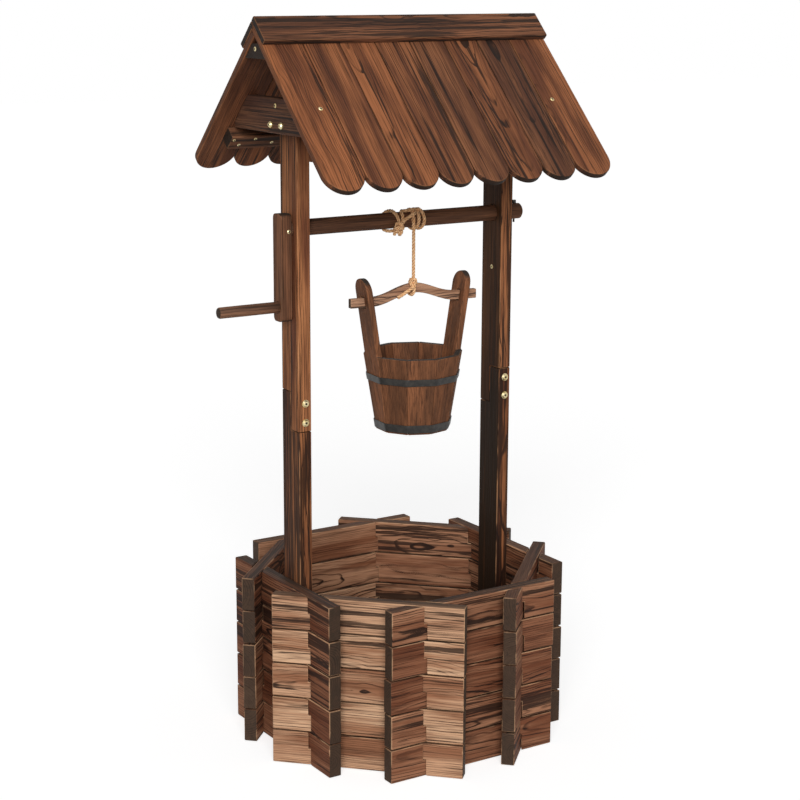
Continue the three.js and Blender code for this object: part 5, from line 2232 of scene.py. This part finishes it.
    def _hoop(self, low: float, high: float) -> Solid:
        """Make a flat hoop that follows the staves round.

        Args:
            low: Its lower edge.
            high: How high it is.

        Returns:
            The hoop.
        """
        rings = []
        seat = self.sizes.seat
        outer = seat + self.hoop_thick
        for z, out in ((low, seat), (low, outer), (low + high, outer), (low + high, seat)):
            flat = self.flat(z) + out
            ring = []
            for k in range(self.count):
                for degrees, pull in self.hoop_bends:
                    off = math.radians(degrees)
                    angle = (k + 0.5) * FULL_TURN / self.count + off
                    reach = flat / math.cos(self.half_side - abs(off)) * (pull if out > seat else 1.0)
                    ring.append(Vector((reach * math.cos(angle), reach * math.sin(angle), z)))
            rings.append(ring)
        return lofted(rings, looped=True)

    def _yoke(self) -> None:
        """Build the arched yoke."""
        reach = self.flat(self.yoke_high)
        half, arch = reach + self.yoke_tail, reach - self.stave_thick - self.yoke_arch_gap
        stations = [arch * (2.0 * step / self.yoke_steps - 1.0) for step in range(self.yoke_steps + 1)]
        middle = []
        for x in (-half, *stations, half):
            rise = self.yoke_rise * (1.0 + math.cos(math.pi * min(abs(x) / arch, 1.0))) / 2.0
            middle.append((x, self.yoke_high + rise))
        outline = [(x, z - self.yoke_section / 2.0) for x, z in middle]
        outline += [(x, z + self.yoke_section / 2.0) for x, z in reversed(middle)]
        bar = prism(outline, -self.yoke_thick / 2.0, self.yoke_thick / 2.0, Axis.Y)
        Workpiece("yoke_bar").add(
            bar, Run.ALONG_X, self.yoke_look, self.yoke_ease, self.sizes.bucket_place, straight=False
        ).fit(self.finishes.yoke, Body.BUCKET, "bucket_yoke")


# The studio


@dataclass
class Studio:
    """The camera, the lights, the floor and the white surroundings."""

    camera_at: tuple[float, float, float] = (-1.5438, -2.4722, 1.2058)
    yaw: float = math.radians(32.49)
    pitch: float = math.radians(12.83)
    roll: float = math.radians(0.22)
    lens: float = 85.09
    sensor: float = 36.0
    sight: float = 60.0
    sun_turn: float = math.radians(32.0)
    sun_high: float = math.radians(23.0)
    sun_wide: float = math.radians(36.0)
    sun_level: float = 2.8
    soft_level: float = 0.2
    floor_far: float = 14.0
    floor_grey: float = 0.66
    floor_glow: float = 0.66

    def camera(self) -> None:
        """Set the camera where the photograph was taken from."""
        cos_yaw, sin_yaw = math.cos(self.yaw), math.sin(self.yaw)
        level_share = math.cos(self.pitch)
        ahead = Vector((sin_yaw * level_share, cos_yaw * level_share, -math.sin(self.pitch)))
        level = Vector((cos_yaw, -sin_yaw, 0.0))
        over = level.cross(ahead)
        right = level * math.cos(self.roll) + over * math.sin(self.roll)
        up = over * math.cos(self.roll) - level * math.sin(self.roll)
        data = bpy.data.cameras.new("camera")
        data.lens = self.lens
        data.sensor_width = self.sensor
        data.clip_end = self.sight
        made = linked("camera", data)
        turn = Matrix((right, up, -ahead)).transposed().to_4x4()
        made.matrix_world = Matrix.Translation(self.camera_at) @ turn
        bpy.context.scene.camera = made

    def surroundings(self) -> None:
        """Set up the lights, the world and the floor."""
        scene = bpy.context.scene
        scene.view_settings.view_transform = "Standard"
        lamp = bpy.data.lights.new("soft_key", "SUN")
        lamp.energy = self.sun_level
        lamp.angle = self.sun_wide
        level_share = math.cos(self.sun_high)
        toward = Vector((-math.sin(self.sun_turn) * level_share, -math.cos(self.sun_turn) * level_share,
                         math.sin(self.sun_high)))
        linked("soft_key", lamp).rotation_euler = toward.to_track_quat("Z", "Y").to_euler()
        scene.world = bpy.data.worlds.new("soft_surroundings")
        scene.world.use_nodes = True
        sheet = NodeSheet(scene.world.node_tree)
        back = sheet.tree.nodes["Background"]
        back.inputs["Color"].default_value = (1.0, 1.0, 1.0, 1.0)
        values = {"Value": self._seen(sheet), "To Min": self.soft_level, "To Max": 1.0}
        sheet.feed(back.inputs["Strength"], sheet.got("ShaderNodeMapRange", values))
        self._floor()

    def _seen(self, sheet: NodeSheet) -> Socket:
        """Tell the rays that show the surroundings from those that light the object.

        Args:
            sheet: The nodes to add to.

        Returns:
            1 for a ray that shows them.
        """
        path = sheet.put("ShaderNodeLightPath").outputs
        both = sheet.math("MAXIMUM", path["Is Glossy Ray"], path["Is Transmission Ray"])
        return sheet.math("MAXIMUM", path["Is Camera Ray"], both)

    def _floor(self) -> None:
        """Lay the pale floor."""
        mesh = bpy.data.meshes.new("floor")
        far = self.floor_far
        mesh.from_pydata([(x, y, 0.0) for x, y in ((-far, -far), (far, -far), (far, far), (-far, far))], [],
                         [(0, 1, 2, 3)])
        floor = linked("floor", mesh)
        sheet = Shading("pale_floor")
        sheet.shade({
            "Base Color": (self.floor_grey, self.floor_grey, self.floor_grey, 1.0), "Roughness": 1.0,
            "Specular IOR Level": 0.0})
        glow = sheet.got("ShaderNodeEmission", {"Strength": sheet.times(self._seen(sheet), self.floor_glow)})
        both = sheet.got("ShaderNodeAddShader", {0: sheet.shader.outputs[0], 1: glow})
        sheet.feed(sheet.tree.nodes["Material Output"].inputs["Surface"], both)
        mesh.materials.append(sheet.material)


def main() -> None:
    """Build the scene: the camera and the rope first, then each part of the well."""
    logging.basicConfig(level=logging.INFO, format="%(message)s")
    studio = Studio()
    studio.camera()
    studio.surroundings()
    sizes = WellSizes()
    finishes = Finishes.mixed()
    fasteners = Fasteners(sizes, finishes)
    Rope(sizes, finishes).build()
    Planter(sizes, finishes).build()
    Posts(sizes, finishes, fasteners).build()
    Roof(sizes, finishes, fasteners).build()
    Windlass(sizes, finishes, fasteners).build()
    Bucket(sizes, finishes).build()
    fasteners.build()
    bpy.context.view_layer.update()


if __name__ == "__main__":
    main()
